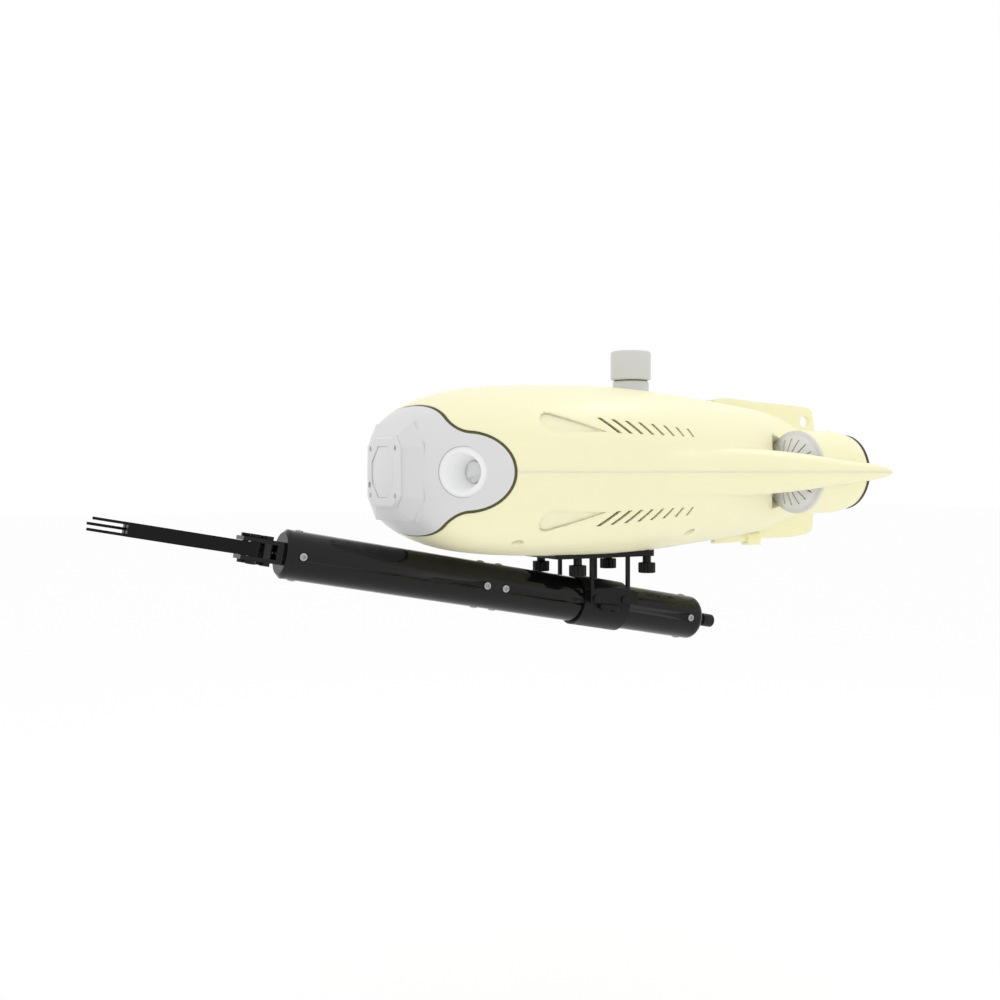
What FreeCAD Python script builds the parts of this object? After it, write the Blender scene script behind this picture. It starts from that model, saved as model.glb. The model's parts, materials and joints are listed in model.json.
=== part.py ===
import FreeCAD, Part
import math
import os

V = FreeCAD.Vector

# Compact five-thruster underwater inspection vehicle with a clip-on grabber claw.
# Millimetres. X runs to the bow, Y to port, Z up; the origin is the hull's centre of buoyancy.

# ---- hull form: station, half width, half height, fullness of the section's quarters
HULL_STATIONS = (
    (179.0, 26.0, 24.0, 0.93),
    (173.0, 46.0, 32.5, 0.80),
    (162.0, 65.5, 43.0, 0.71),
    (144.0, 79.5, 52.0, 0.66),
    (112.0, 89.8, 58.0, 0.64),
    (60.0, 93.0, 60.8, 0.64),
    (0.0, 88.5, 60.4, 0.63),
    (-60.0, 75.0, 55.4, 0.62),
    (-112.0, 53.0, 50.2, 0.60),
    (-152.0, 35.5, 42.0, 0.58),
    (-188.0, 19.0, 22.0, 0.56),
)
BELLY_SHARE = 0.965         # depth of the belly as a share of the crown's height
SHELL_WALL = 2.6            # moulded wall of the hull shells
SHELL_MID = 38.0            # station about which the inner skin is drawn in
FIT = 0.15                  # gap round a piece in its seat
RUNNING = 0.05              # radial gap of a turning pin or shaft
SOFT_GAP = 0.3              # gap between round faces that only lie near each other

# ---- face mask, its seal and the lamps
MASK_EDGE = 160.0           # station of the mask's rear edge on the crown
LOBE_X = 153.6              # centre of the round side lobe
LOBE_RADIUS = 25.0
LOBE_FILLET = 9.0
SEAM_WIDTH = 2.0            # width of the rubber seam between mask and hull
SEAM_SINK = 0.4             # the seam lies this much below the skin
POCKET_X = 156.3            # middle of the round lamp pocket on the skin
POCKET_Y = 67.5
POCKET_YAW = 45.0           # the pocket faces outwards by this angle
POCKET_RADIUS = 16.0
POCKET_SINK = 1.0           # the lamp's disc lies this much below the skin
DISC_THICK = 2.4
LAMP_X = 146.0              # floor of the reflector that opens into the pocket
LAMP_Y = 64.5
LAMP_YAW = 22.0             # the lamp looks outwards by this angle
LAMP_FLOOR_RADIUS = 7.0
LAMP_FLARE = 0.46           # growth of the reflector's radius along its axis
LAMP_DEPTH = 30.0
LAMP_WALL = 1.4
LAMP_SEAT_STEP = 1.4        # lip round the light-source board
LAMP_DIE_RADIUS = 2.6
LAMP_LENS = 2.0
LAMP_BOARD = 1.6

# ---- camera
BEZEL_HALF_WIDTH = 25.5
BEZEL_HALF_HEIGHT = 23.5
BEZEL_CORNER = 8.0          # flat cut across each corner of the bezel
BEZEL_DEPTH = 2.5
BEZEL_CHAMFER = 1.6
FACE_X = HULL_STATIONS[0][0]
NOSE_X, NOSE_HALF_WIDTH, NOSE_HALF_HEIGHT = HULL_STATIONS[1][:3]
NOSE_CORNER = 15.3          # flat cut across each corner of the faceted nose's base
NOSE_ROOT = 6.0             # depth of the nose's root in the mask
BEZEL_FRONT = FACE_X + BEZEL_DEPTH
OPENING_HALF_WIDTH = 18.5
OPENING_HALF_HEIGHT = 17.0
OPENING_CORNER = 10.5
WINDOW_THICK = 3.0
WINDOW_RISE = 1.3           # crown of the window's outer face
CAMERA_RADIUS = 12.0
CAMERA_BODY = 30.0
CAMERA_GAP = 6.0            # lens to window
BEZEL_SCREW_Y = 20.3
BEZEL_SCREW_Z = 15.5
BEZEL_SCREW_RADIUS = 1.6
SENSOR_Y = -21.9
SENSOR_Z = -8.5
SENSOR_RADIUS = 1.9

# ---- pressure canister and what it holds
CAN_FRONT = 130.0
CAN_REAR = -46.0
CAN_RADIUS = 33.0
CAN_WALL = 2.5
CAP_THICK = 6.0
CAP_SPIGOT = 8.0
SEAL_SECTION = 1.7          # squeezed thickness of the canister's O-rings
SEAL_PLAY = 0.03            # space left above and below a squeezed ring
PACK_GAP = 4.0              # room between a cap and what lies in the canister
BATTERY_LENGTH = 104.0
BATTERY_REAR = CAN_REAR + CAP_SPIGOT + PACK_GAP
BATTERY_FRONT = BATTERY_REAR + BATTERY_LENGTH
BATTERY_Z = -10.0
CELL_RADIUS = 9.2
BOARD_HALF_WIDTH = 23.0
BOARD_THICK = 1.6
BOARD_Z = 6.0
BOARD_REAR = CAN_REAR + CAP_SPIGOT + PACK_GAP
BOARD_FRONT = CAN_FRONT - CAP_SPIGOT - PACK_GAP

# ---- thruster ducts at the stern
DUCT_Y = 62.0
DUCT_FRONT = -119.5
DUCT_SHOULDER = -145.0      # the duct's outside rounds in from here to the stern
DUCT_REAR = -163.0
DUCT_RADIUS = 30.3
DUCT_RADIUS_REAR = 27.3
DUCT_BORE = 25.2
RIM_DEPTH = 2.6
RIM_RADIUS = DUCT_RADIUS_REAR + 0.3
GUARD_RISE = 11.0
GUARD_WALL = 1.8
GUARD_HUB = 7.0
GUARD_SLOTS = 20
GUARD_SLOT = 1.2
GUARD_RADIUS = DUCT_RADIUS - 0.3
GUARD_SPHERE = (DUCT_RADIUS ** 2 + GUARD_RISE ** 2) / (2 * GUARD_RISE)
GUARD_CENTRE = V(DUCT_FRONT + GUARD_RISE - GUARD_SPHERE, DUCT_Y, 0)
SCOOP_GAP = 1.4             # hull scoop outside the guard
SCOOP_LEAD = 8.0            # hull scoop ahead of the guard
REAR_TIP_GAP = 0.9          # propeller tip to duct

# ---- vertical thrusters inside the hull
SIDE_X = 28.0
SIDE_Y = 62.0
TAIL_X = -76.0
TUNNEL_BORE = 20.5
TUNNEL_WALL = 1.8
TUNNEL_TIP_GAP = 0.8
LIFT_BASE = -14.0           # foot of the vertical thrusters' motors
GRILLE_SLOTS = 5
GRILLE_SLOT = 3.4
GRILLE_PITCH = 6.8

# ---- motors and propellers, as shares of their bore
MOTOR_SHARE = 0.42
MOTOR_LENGTH = 19.0
SPIDER_THICK = 3.0
SHAFT_RADIUS = 1.5
SHAFT_LENGTH = 12.0
HUB_SHARE = 0.26
HUB_LENGTH = 9.0
BLADES = 3
BLADE_CHORD = 15.0
BLADE_THICK = 1.9
ROOT_PITCH = 50.0
TIP_PITCH = 22.0

# ---- louvres over the side thrusters: foremost and aftmost slot, then the recess ahead of them
LOUVRES = 8
LOUVRE_FIRST = (64.0, 35.2, 52.0, 25.3)
LOUVRE_LAST = (-8.0, 29.2, -11.0, 23.6)
LOUVRE_WIDE = 3.4
LOUVRE_NARROW = 2.0
SWOOSH_X = 101.0
SWOOSH_Z = 31.0
SWOOSH_RADIUS = 6.6
SWOOSH_TAIL_X = 62.0
SWOOSH_TAIL_Z = 26.0
SWOOSH_SINK = 1.3

# ---- fins and wings
FIN_THICK = 4.0
EYE_X = -182.0
EYE_Z = 40.0
EYE_RADIUS = 4.75
# station, outer edge, half thickness of the wing
WING_STATIONS = (
    (20.0, 89.5, 19.0),
    (-30.0, 86.0, 18.0),
    (-70.0, 90.5, 16.2),
    (-104.0, 105.0, 13.0),
    (-137.0, 111.3, 8.6),
    (-159.0, 112.2, 5.5),
    (-166.0, 110.0, 3.6),
)
WING_ROOT_Y = 44.0
WING_FULLNESS = 3.4         # exponent of the section: 2 is an oval, more is squarer
WING_POINTS = 28
FOOT_X = -129.0
FOOT_LENGTH = 12.0
FOOT_WIDTH = 9.0
FOOT_Z = -56.5

# ---- hull screws
BOSS_RADIUS = 4.6
HULL_BOSSES = ((112.0, 58.0), (-22.0, 62.0))
SCREW_RADIUS = 1.5
SCREW_HEAD_RADIUS = 2.9
SCREW_HEAD_DEPTH = 2.2
SCREW_GRIP = 12.0
SCREW_RECESS = 34.0         # the screw heads lie this far up the lower bosses

# ---- ribs that hold the canister
RIB_X = (92.0, -35.0)
RIB_THICK = 2.4
RIB_HALF_WIDTH = 29.0

# ---- port on the crown and its cap
PORT_X = -16.0
COLLAR_RADIUS = 13.2
COLLAR_TOP = 66.4
COLLAR_BORE = 8.5
COLLAR_FLANGE = 16.0
COLLAR_FLOOR = 48.0
PORT_SEAL_DEPTH = 0.8
CAP_RADIUS = 14.7
CAP_TOP = 88.5
CAP_STEM = 14.0
CAP_ROUND = 2.2

# ---- claw bracket under the belly
PLATE_FRONT = 64.0
PLATE_REAR = -18.0
PLATE_HALF_WIDTH = 28.5
PLATE_BOTTOM = -60.0
PLATE_ROUND = 3.0
KNOB_X = (45.6, -12.7)
KNOB_Y = 25.0
KNOB_RADIUS = 6.15
KNOB_DEPTH = 7.3
KNOB_BOTTOM = -72.0
KNOB_FLUTES = 12
KNOB_FLUTE = 0.7
NECK_RADIUS = 3.0
THUMB_RADIUS = 2.0
THUMB_TOP = -47.0
INSERT_BOSS = 5.0
INSERT_BOSS_TOP = -44.0
FRAME_Y = 20.2              # inner face of each side frame
FRAME_THICK = 2.4
LEG_FRONT = 33.0
LEG_REAR = 0.0
LEG_WIDTH = 2.6
SIDE_TOP = -81.9
SIDE_FRONT_BOTTOM = -91.6   # the lower edge drops towards the stern, along the claw
SIDE_REAR_BOTTOM = -94.9
TAB_LENGTH = 7.0
TAB_TOP = -84.3
FRAME_SCREWS = ((LEG_REAR + 5.0, -90.9), (LEG_FRONT - 4.5, -88.8))

# ---- claw: its own frame has X along the tube from the fork's root, tilted nose-up
CLAW_X = 248.0
CLAW_Z = -52.0
CLAW_TILT = 10.31
TUBE_RADIUS = 15.8
TUBE_WALL = 1.8
BORE_RADIUS = TUBE_RADIUS - TUBE_WALL
SPIGOT_RADIUS = BORE_RADIUS - FIT
TUBE_FRONT = -1.0
TUBE_REAR = -318.0
JOINT_SPIGOT = 12.0
GEAR_MOTOR_RADIUS = 12.5
GEAR_MOTOR_FRONT = -70.0
GEAR_MOTOR_LENGTH = 62.0
MOTOR_GAP = 2.0             # room for the wires between the gear motor and the joint's sleeve
TUBE_JOINT = GEAR_MOTOR_FRONT - GEAR_MOTOR_LENGTH - MOTOR_GAP - JOINT_SPIGOT
HEAD_FACE = 3.6             # front face of the claw's head
FORK_TIP = 31.0
FORK_HALF_WIDTH = 12.6
FORK_GAP = 4.6              # half gap between the fork's plates
FORK_PLATE = 2.6
FORK_WEB_END = 9.0          # solid sides of the fork's root end here
FORK_WEB_Y = 5.8
FORK_BOLT_S = 15.5
FORK_BOLT_RADIUS = 1.5
SPACER_RADIUS = 3.4
REAR_CAP_LENGTH = 7.0
REAR_CAP_ROUND = 5.5
STUB_RADIUS = 4.8
STUB_LENGTH = 18.5
STUB_NECK_RADIUS = 3.4
STUB_NECK_LENGTH = 8.5
CLAMP_LENGTH = 38.0
CLAMP_CENTRE = -236.0
CLAMP_WALL = 1.8
CLAMP_BORE = TUBE_RADIUS + FIT
CLAMP_RADIUS = CLAMP_BORE + CLAMP_WALL
EAR_DEPTH = 3.2             # depth of the strap's ears
EAR_HALF_LENGTH = 8.0
EAR_HALF_WIDTH = 22.4
STRAP_SCREW_Y = 18.1
STRAP_SCREW_SPACING = 10.0
STRAP_SCREW_RADIUS = 1.1
STRAP_HEAD_RADIUS = 1.9
STRAP_HEAD_DEPTH = 2.0
STRAP_SCREW_GRIP = 4.0      # length of screw above the split of the clamp
TUBE_SCREW_STATIONS = (-6.5, TUBE_JOINT + 7.2, TUBE_JOINT - 7.2, -312.0)
PAN_RADIUS = 2.6
PAN_DEPTH = 1.2
PAN_SHANK = 1.4
SIDE_SCREW_GRIP = 2.8       # depth of the side frames' screws in the saddle

# ---- claw's actuator
LEAD_RADIUS = 2.5
LEAD_LENGTH = 44.0
ROD_RADIUS = 4.6
ROD_REAR = -62.0
CLAW_BOARD_HALF = 10.0
CLAW_BOARD_THICK = 1.6
CLAW_BOARD_LENGTH = 62.0
THROW_DEGREES = 30.0        # each jaw opens this far
PIVOT_S = 24.5
PIVOT_Y = 9.0
PIVOT_RADIUS = 2.0
CRANK = 7.0
CRANK_PIN = 1.5
CRANK_LAYER = 1.2           # the crosshead plate lies inside this half height
SLOT_PLAY = 0.06
CRANK_HALF_WIDTH = 2.1
EYE_BOSS_RADIUS = 4.8       # round end of the jaw about its pivot
RELIEF_RADIUS = 3.2         # what the crosshead's relief leaves round the pivot
CROSSHEAD_HALF = 5.2        # half length of the crosshead across the claw
JAW_HALF = 4.4              # half height of a jaw, a little less than the fork's half gap
JAW_STEP = 34.0
TINE_START = 101.0
TINE_TIPS = (120.4, 123.9, 122.7)   # upper, middle and lower tine
TINE_PITCH = 3.5
TINE_THICK = 1.7
BOLT_HEAD_RADIUS = 3.1
BOLT_HEAD_DEPTH = 2.2

def mirrored(shape):
    """The same shape on the other side of the hull's middle plane."""
    return shape.mirror(V(0, 0, 0), V(0, 1, 0))


def block(x0, x1, y0, y1, z0, z1):
    """Box between two corners."""
    return Part.makeBox(x1 - x0, y1 - y0, z1 - z0, V(x0, y0, z0))


def rod(start, direction, radius, length):
    """Round bar from a start point along a direction."""
    return Part.makeCylinder(radius, length, start, direction)


def tube(start, direction, radius, bore, length):
    """Round bar with a bore right through."""
    return rod(start, direction, radius, length).cut(rod(start, direction, bore, length))


def polygon(points, direction):
    """Solid swept from a closed flat outline along a direction."""
    wire = Part.makePolygon(list(points) + [points[0]])
    return Part.Face(wire).extrude(direction)


def turned(points, axis_point, axis):
    """Solid of revolution from a closed outline."""
    wire = Part.makePolygon(list(points) + [points[0]])
    return Part.Face(wire).revolve(axis_point, axis, 360)


# ------------------------------------------------------------------ hull form

def quarter(tip, corner, crown, fullness):
    """Cubic from tip to crown that bulges towards the corner by the fullness."""
    curve = Part.BezierCurve()
    curve.setPoles([tip, tip + (corner - tip) * fullness, crown + (corner - crown) * fullness, crown])
    return curve.toShape()


def hull_section(x, half_width, half_height, fullness):
    """Closed section across the hull at x, in four quarters that meet smoothly."""
    belly = -half_height * BELLY_SHARE
    port = V(x, half_width, 0)
    starboard = V(x, -half_width, 0)
    top = V(x, 0, half_height)
    bottom = V(x, 0, belly)
    return Part.Wire([
        quarter(port, V(x, half_width, half_height), top, fullness),
        quarter(starboard, V(x, -half_width, half_height), top, fullness),
        quarter(starboard, V(x, -half_width, belly), bottom, fullness),
        quarter(port, V(x, half_width, belly), bottom, fullness),
    ])


def hull_form(inset):
    """Smooth body through all stations, drawn in on every side by the inset."""
    reach = HULL_STATIONS[0][0] - SHELL_MID
    wires = []
    for x, half_width, half_height, fullness in HULL_STATIONS:
        drawn_x = SHELL_MID + (x - SHELL_MID) * (1 - inset / reach)
        wires.append(hull_section(drawn_x, half_width - inset, half_height - inset, fullness))
    return Part.makeLoft(wires, True, False)


def wing_section(x, outer_y, half_thick):
    """Closed section of the port wing at x: flat above and below with round edges."""
    half_span = (outer_y - WING_ROOT_Y) / 2
    points = []
    for k in range(WING_POINTS):
        angle = 2 * math.pi * (k + 0.5) / WING_POINTS
        across = math.copysign(abs(math.cos(angle)) ** (2 / WING_FULLNESS), math.cos(angle))
        up = math.copysign(abs(math.sin(angle)) ** (2 / WING_FULLNESS), math.sin(angle))
        points.append(V(x, WING_ROOT_Y + half_span * (1 + across), half_thick * up))
    curve = Part.BSplineCurve()
    curve.interpolate(Points=points, PeriodicFlag=True)
    return Part.Wire([curve.toShape()])


def wing_form():
    """Port wing: it flares outwards and thins towards the stern."""
    return Part.makeLoft([wing_section(*station) for station in WING_STATIONS], True, False)


def fin_outline(points, half_thick):
    """Flat fin of even thickness on the hull's middle plane."""
    corners = [V(x, -half_thick, z) for x, z in points]
    return polygon(corners, V(0, 2 * half_thick, 0))


def dorsal_fin():
    """Upper fin with rounded rear corner and the eye for the tether's shackle."""
    fin = fin_outline([
        (-84, 45), (-84, 54.2), (-103, 56.8), (-133, 54.5), (-179, 51.8),
        (-186, 51.0), (-189.6, 48.2), (-192.5, 33), (-186, 24), (-150, 24),
    ], FIN_THICK / 2)
    return fin.cut(rod(V(EYE_X, -FIN_THICK, EYE_Z), V(0, 1, 0), EYE_RADIUS, 2 * FIN_THICK))


def ventral_fin():
    """Lower fin and the small foot ahead of it."""
    fin = fin_outline([
        (-78, -45), (-92, -54.6), (-135, -53.4), (-139, -51.6), (-168, -51.4),
        (-183, -49.6), (-189.5, -46.2), (-191.5, -33), (-185, -24), (-140, -24),
    ], FIN_THICK / 2)
    foot = block(FOOT_X - FOOT_LENGTH / 2, FOOT_X + FOOT_LENGTH / 2,
                 -FOOT_WIDTH / 2, FOOT_WIDTH / 2, FOOT_Z, FOOT_Z + 9)
    return fin.fuse(foot)


def duct_axis_point(x):
    """Point on the port duct's axis."""
    return V(x, DUCT_Y, 0)


def duct_form():
    """Outside of the port duct, with a round shoulder towards the stern."""
    rise = DUCT_RADIUS - DUCT_RADIUS_REAR
    reach = DUCT_SHOULDER - DUCT_REAR
    bend = V(DUCT_SHOULDER - reach * 0.55, DUCT_RADIUS - rise * 0.28, 0)
    edges = [
        Part.makeLine(V(DUCT_REAR, 0, 0), V(DUCT_FRONT, 0, 0)),
        Part.makeLine(V(DUCT_FRONT, 0, 0), V(DUCT_FRONT, DUCT_RADIUS, 0)),
        Part.makeLine(V(DUCT_FRONT, DUCT_RADIUS, 0), V(DUCT_SHOULDER, DUCT_RADIUS, 0)),
        Part.Arc(V(DUCT_SHOULDER, DUCT_RADIUS, 0), bend, V(DUCT_REAR, DUCT_RADIUS_REAR, 0)).toShape(),
        Part.makeLine(V(DUCT_REAR, DUCT_RADIUS_REAR, 0), V(DUCT_REAR, 0, 0)),
    ]
    duct = Part.Face(Part.Wire(edges)).revolve(V(0, 0, 0), V(1, 0, 0), 360)
    duct.translate(V(0, DUCT_Y, 0))
    return duct


def scoop_form(grow):
    """Space ahead of the duct where the guard stands and water runs in."""
    radius = DUCT_RADIUS + SCOOP_GAP + grow
    drum = rod(duct_axis_point(DUCT_FRONT), V(1, 0, 0), radius, 2 * radius)
    return drum.common(Part.makeSphere(GUARD_SPHERE + SCOOP_LEAD + grow, GUARD_CENTRE))


def bore_form(grow):
    """Duct's bore from the guard's seat to the stern."""
    length = DUCT_FRONT - DUCT_REAR
    return rod(duct_axis_point(DUCT_FRONT + 0.01), V(-1, 0, 0), DUCT_BORE + grow, length + 1)


def stern_space(grow):
    """All that is cut for the port stern thruster, enlarged by a wall."""
    return bore_form(grow).fuse(scoop_form(grow))


def rim_space():
    """Room behind the port duct that the wing's tip leaves to the rim."""
    return rod(duct_axis_point(DUCT_REAR), V(-1, 0, 0), RIM_RADIUS + SOFT_GAP, 3 * RIM_DEPTH)


# ------------------------------------------------------------------ hull shells

def mask_side(grow):
    """Side view of the face mask's space: all ahead of the edge, and the round lobe."""
    edge = MASK_EDGE - grow
    radius = LOBE_RADIUS + grow
    fillet = LOBE_FILLET - grow
    along = edge - fillet - LOBE_X
    rise = math.sqrt((radius + fillet) ** 2 - along ** 2)
    share = radius / (radius + fillet)
    far = 200.0
    high = 90.0
    deg45 = math.sqrt(0.5)
    lobe_top = V(LOBE_X + along * share, 0, rise * share)
    lobe_low = V(LOBE_X + along * share, 0, -rise * share)
    middle = V(edge - fillet, 0, rise)
    bend = V(edge - fillet + fillet * deg45, 0, rise - fillet * deg45)
    bend_low = V(bend.x, 0, -bend.z)
    edges = [
        Part.makeLine(V(far, 0, high), V(edge, 0, high)),
        Part.makeLine(V(edge, 0, high), V(edge, 0, middle.z)),
        Part.Arc(V(edge, 0, middle.z), bend, lobe_top).toShape(),
        Part.Arc(lobe_top, V(LOBE_X - radius, 0, 0), lobe_low).toShape(),
        Part.Arc(lobe_low, bend_low, V(edge, 0, -middle.z)).toShape(),
        Part.makeLine(V(edge, 0, -middle.z), V(edge, 0, -high)),
        Part.makeLine(V(edge, 0, -high), V(far, 0, -high)),
        Part.makeLine(V(far, 0, -high), V(far, 0, high)),
    ]
    face = Part.Face(Part.Wire(edges))
    face.translate(V(0, -110, 0))
    return face.extrude(V(0, 220, 0))


def louvre_cutters():
    """Slanting slots and the sunk teardrop ahead of them, on the upper port shoulder."""
    slots = []
    for k in range(LOUVRES):
        share = k / (LOUVRES - 1)
        x_top, z_top, x_low, z_low = [a + (b - a) * share for a, b in zip(LOUVRE_FIRST, LOUVRE_LAST)]
        width = LOUVRE_WIDE + (LOUVRE_NARROW - LOUVRE_WIDE) * share
        slots.append(polygon([
            V(x_top + width / 2, 60, z_top), V(x_low + width / 2, 60, z_low),
            V(x_low - width / 2, 60, z_low), V(x_top - width / 2, 60, z_top),
        ], V(0, 45, 0)))
    return slots


def swoosh_prism():
    """Teardrop outline of the sunk recess, swept through the port shoulder."""
    reach = math.hypot(SWOOSH_X - SWOOSH_TAIL_X, SWOOSH_Z - SWOOSH_TAIL_Z)
    lean = math.atan2(SWOOSH_TAIL_Z - SWOOSH_Z, SWOOSH_TAIL_X - SWOOSH_X)
    swing = math.acos(SWOOSH_RADIUS / reach)

    def on_round(angle):
        return V(SWOOSH_X + SWOOSH_RADIUS * math.cos(angle), 55,
                 SWOOSH_Z + SWOOSH_RADIUS * math.sin(angle))

    upper = on_round(lean - swing)
    lower = on_round(lean + swing)
    tail = V(SWOOSH_TAIL_X, 55, SWOOSH_TAIL_Z)
    outline = Part.Wire([
        Part.Arc(upper, on_round(lean + math.pi), lower).toShape(),
        Part.makeLine(lower, tail),
        Part.makeLine(tail, upper),
    ])
    return Part.Face(outline).extrude(V(0, 50, 0))


def four_ways(shape):
    """The shape with its copies on the other side and on the underside."""
    below = shape.mirror(V(0, 0, 0), V(0, 0, 1))
    return [shape, mirrored(shape), below, mirrored(below)]


def tail_grille():
    """Slots over the tail thruster, within a round field, through crown and belly."""
    field = rod(V(TAIL_X, 0, -90), V(0, 0, 1), TUNNEL_BORE - 1.5, 180)
    slots = []
    for k in range(GRILLE_SLOTS):
        x = TAIL_X + (k - (GRILLE_SLOTS - 1) / 2) * GRILLE_PITCH
        slab = block(x - GRILLE_SLOT / 2, x + GRILLE_SLOT / 2, -40, 40, -90, 90)
        slots.append(slab.common(field))
    return slots


def lamp_direction():
    yaw = math.radians(LAMP_YAW)
    return V(math.cos(yaw), math.sin(yaw), 0)


def lamp_floor():
    """Middle of the port reflector's floor."""
    return V(LAMP_X, LAMP_Y, 0)


def lamp_cone(grow, start, length):
    """Flared body on the port lamp's axis, from start ahead of the floor."""
    axis = lamp_direction()
    near = LAMP_FLOOR_RADIUS + grow + LAMP_FLARE * start
    base = lamp_floor() + axis * start
    return Part.makeCone(near, near + LAMP_FLARE * length, length, base, axis)


def pocket_bar(radius):
    """Round bar through the mask at the port lamp's pocket, square to its face."""
    yaw = math.radians(POCKET_YAW)
    out = V(math.cos(yaw), math.sin(yaw), 0)
    return rod(V(POCKET_X, POCKET_Y, 0) - out * POCKET_RADIUS, out, radius, 2 * POCKET_RADIUS)


def hull_bosses(skin, radius):
    """Upright posts at the hull screws, cut to the inside of the skin."""
    posts = []
    for x, y in HULL_BOSSES:
        for side in (y, -y):
            posts.append(rod(V(x, side, -80), V(0, 0, 1), radius, 160).common(skin))
    return posts


def insert_bosses(skin):
    """Short posts on the belly that take the thumb screws."""
    posts = []
    for x, y in knob_places():
        posts.append(rod(V(x, y, -80), V(0, 0, 1), INSERT_BOSS, 80 + INSERT_BOSS_TOP).common(skin))
    return posts


def canister_ribs(skin):
    """Crosswise ribs in both shells that close round the canister."""
    ribs = []
    for x in RIB_X:
        slab = block(x, x + RIB_THICK, -RIB_HALF_WIDTH, RIB_HALF_WIDTH, -80, 80).common(skin)
        ribs.append(slab.cut(rod(V(x - 1, 0, 0), V(1, 0, 0), CAN_RADIUS + SOFT_GAP, RIB_THICK + 2)))
    return ribs


def knob_places():
    return [(x, side) for x in KNOB_X for side in (KNOB_Y, -KNOB_Y)]


def hull_parts():
    """Upper and lower shell, face mask and the seam between them."""
    skin = hull_form(0)
    inside = hull_form(SHELL_WALL)
    sunk = skin.cut(hull_form(SWOOSH_SINK))
    seam_skin = hull_form(SEAM_SINK)

    wing = wing_form()
    body = skin.fuse([wing, mirrored(wing), duct_form(), mirrored(duct_form()),
                      dorsal_fin(), ventral_fin()])
    room = inside
    for wall in (stern_space(SHELL_WALL), mirrored(stern_space(SHELL_WALL))):
        room = room.cut(wall)
    shell = body.cut(room)
    shell = shell.cut([stern_space(0), mirrored(stern_space(0)), rim_space(), mirrored(rim_space())])

    front = mask_side(-SEAM_WIDTH / 2)
    behind = mask_side(SEAM_WIDTH / 2)
    hull = shell.cut(behind)
    bow = skin.common(block(100, NOSE_X, -110, 110, -90, 90)).fuse(nose_form())
    mask = bow.cut(inside).common(front)
    seam = seam_skin.cut(inside).common(behind).cut(front)

    cuts = []
    for slot in louvre_cutters():
        cuts.extend(four_ways(slot))
    cuts.extend(tail_grille())
    for prism in four_ways(swoosh_prism()):
        cuts.append(sunk.common(prism))
    hull = hull.cut(cuts)
    hull = hull.fuse(hull_bosses(skin, BOSS_RADIUS) + insert_bosses(skin) + canister_ribs(skin))

    drills = [rod(V(PORT_X, 0, 0), V(0, 0, 1), COLLAR_RADIUS + FIT, 90)]
    for x, y in HULL_BOSSES:
        for side in (y, -y):
            drills.append(rod(V(x, side, -80), V(0, 0, 1), SCREW_HEAD_RADIUS + FIT, 80 - SCREW_RECESS))
            drills.append(rod(V(x, side, -80), V(0, 0, 1), SCREW_RADIUS + FIT, 80 + SCREW_GRIP + 1))
    for x, y in knob_places():
        drills.append(rod(V(x, y, -80), V(0, 0, 1), THUMB_RADIUS + RUNNING, 80 + THUMB_TOP + 1))
    hull = hull.cut(drills)

    upper = hull.common(block(-220, 220, -130, 130, 0, 120))
    lower = hull.common(block(-220, 220, -130, 130, -120, 0))

    lamp_hole = pocket_bar(POCKET_RADIUS + FIT)
    mask = mask.cut([lamp_hole, mirrored(lamp_hole), bezel_prism(opening_points(FIT), 165, 30)])
    for y in (BEZEL_SCREW_Y, -BEZEL_SCREW_Y):
        for z in (BEZEL_SCREW_Z, -BEZEL_SCREW_Z):
            mask = mask.cut(rod(V(150, y, z), V(1, 0, 0), PAN_SHANK / 2 + FIT, 40))
    sensor_hole = rod(V(150, SENSOR_Y, SENSOR_Z), V(1, 0, 0), SENSOR_RADIUS + FIT, 40)
    mask = mask.cut(sensor_hole)
    return upper, lower, mask, seam


# ------------------------------------------------------------------ camera and lamps

def octagon(half_width, half_height, corner):
    """Corners of a block with its four corners cut off flat."""
    w, h, c = half_width, half_height, corner
    return [(w, h - c), (w - c, h), (c - w, h), (-w, h - c),
            (-w, c - h), (c - w, -h), (w - c, -h), (w, c - h)]


def bezel_prism(corners, x, depth):
    return polygon([V(x, y, z) for y, z in corners], V(depth, 0, 0))


def nose_form():
    """Faceted nose: from the bezel's eight sides out to the base, and a root inside the mask."""
    front = octagon(BEZEL_HALF_WIDTH, BEZEL_HALF_HEIGHT, BEZEL_CORNER)
    base = octagon(NOSE_HALF_WIDTH, NOSE_HALF_HEIGHT, NOSE_CORNER)
    wires = []
    for x, corners in ((FACE_X, front), (NOSE_X, base)):
        points = [V(x, y, z) for y, z in corners]
        wires.append(Part.makePolygon(points + [points[0]]))
    return Part.makeLoft(wires, True, True).fuse(bezel_prism(base, NOSE_X - NOSE_ROOT, NOSE_ROOT))


def opening_points(shrink):
    return octagon(OPENING_HALF_WIDTH - shrink, OPENING_HALF_HEIGHT - shrink, OPENING_CORNER)


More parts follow.
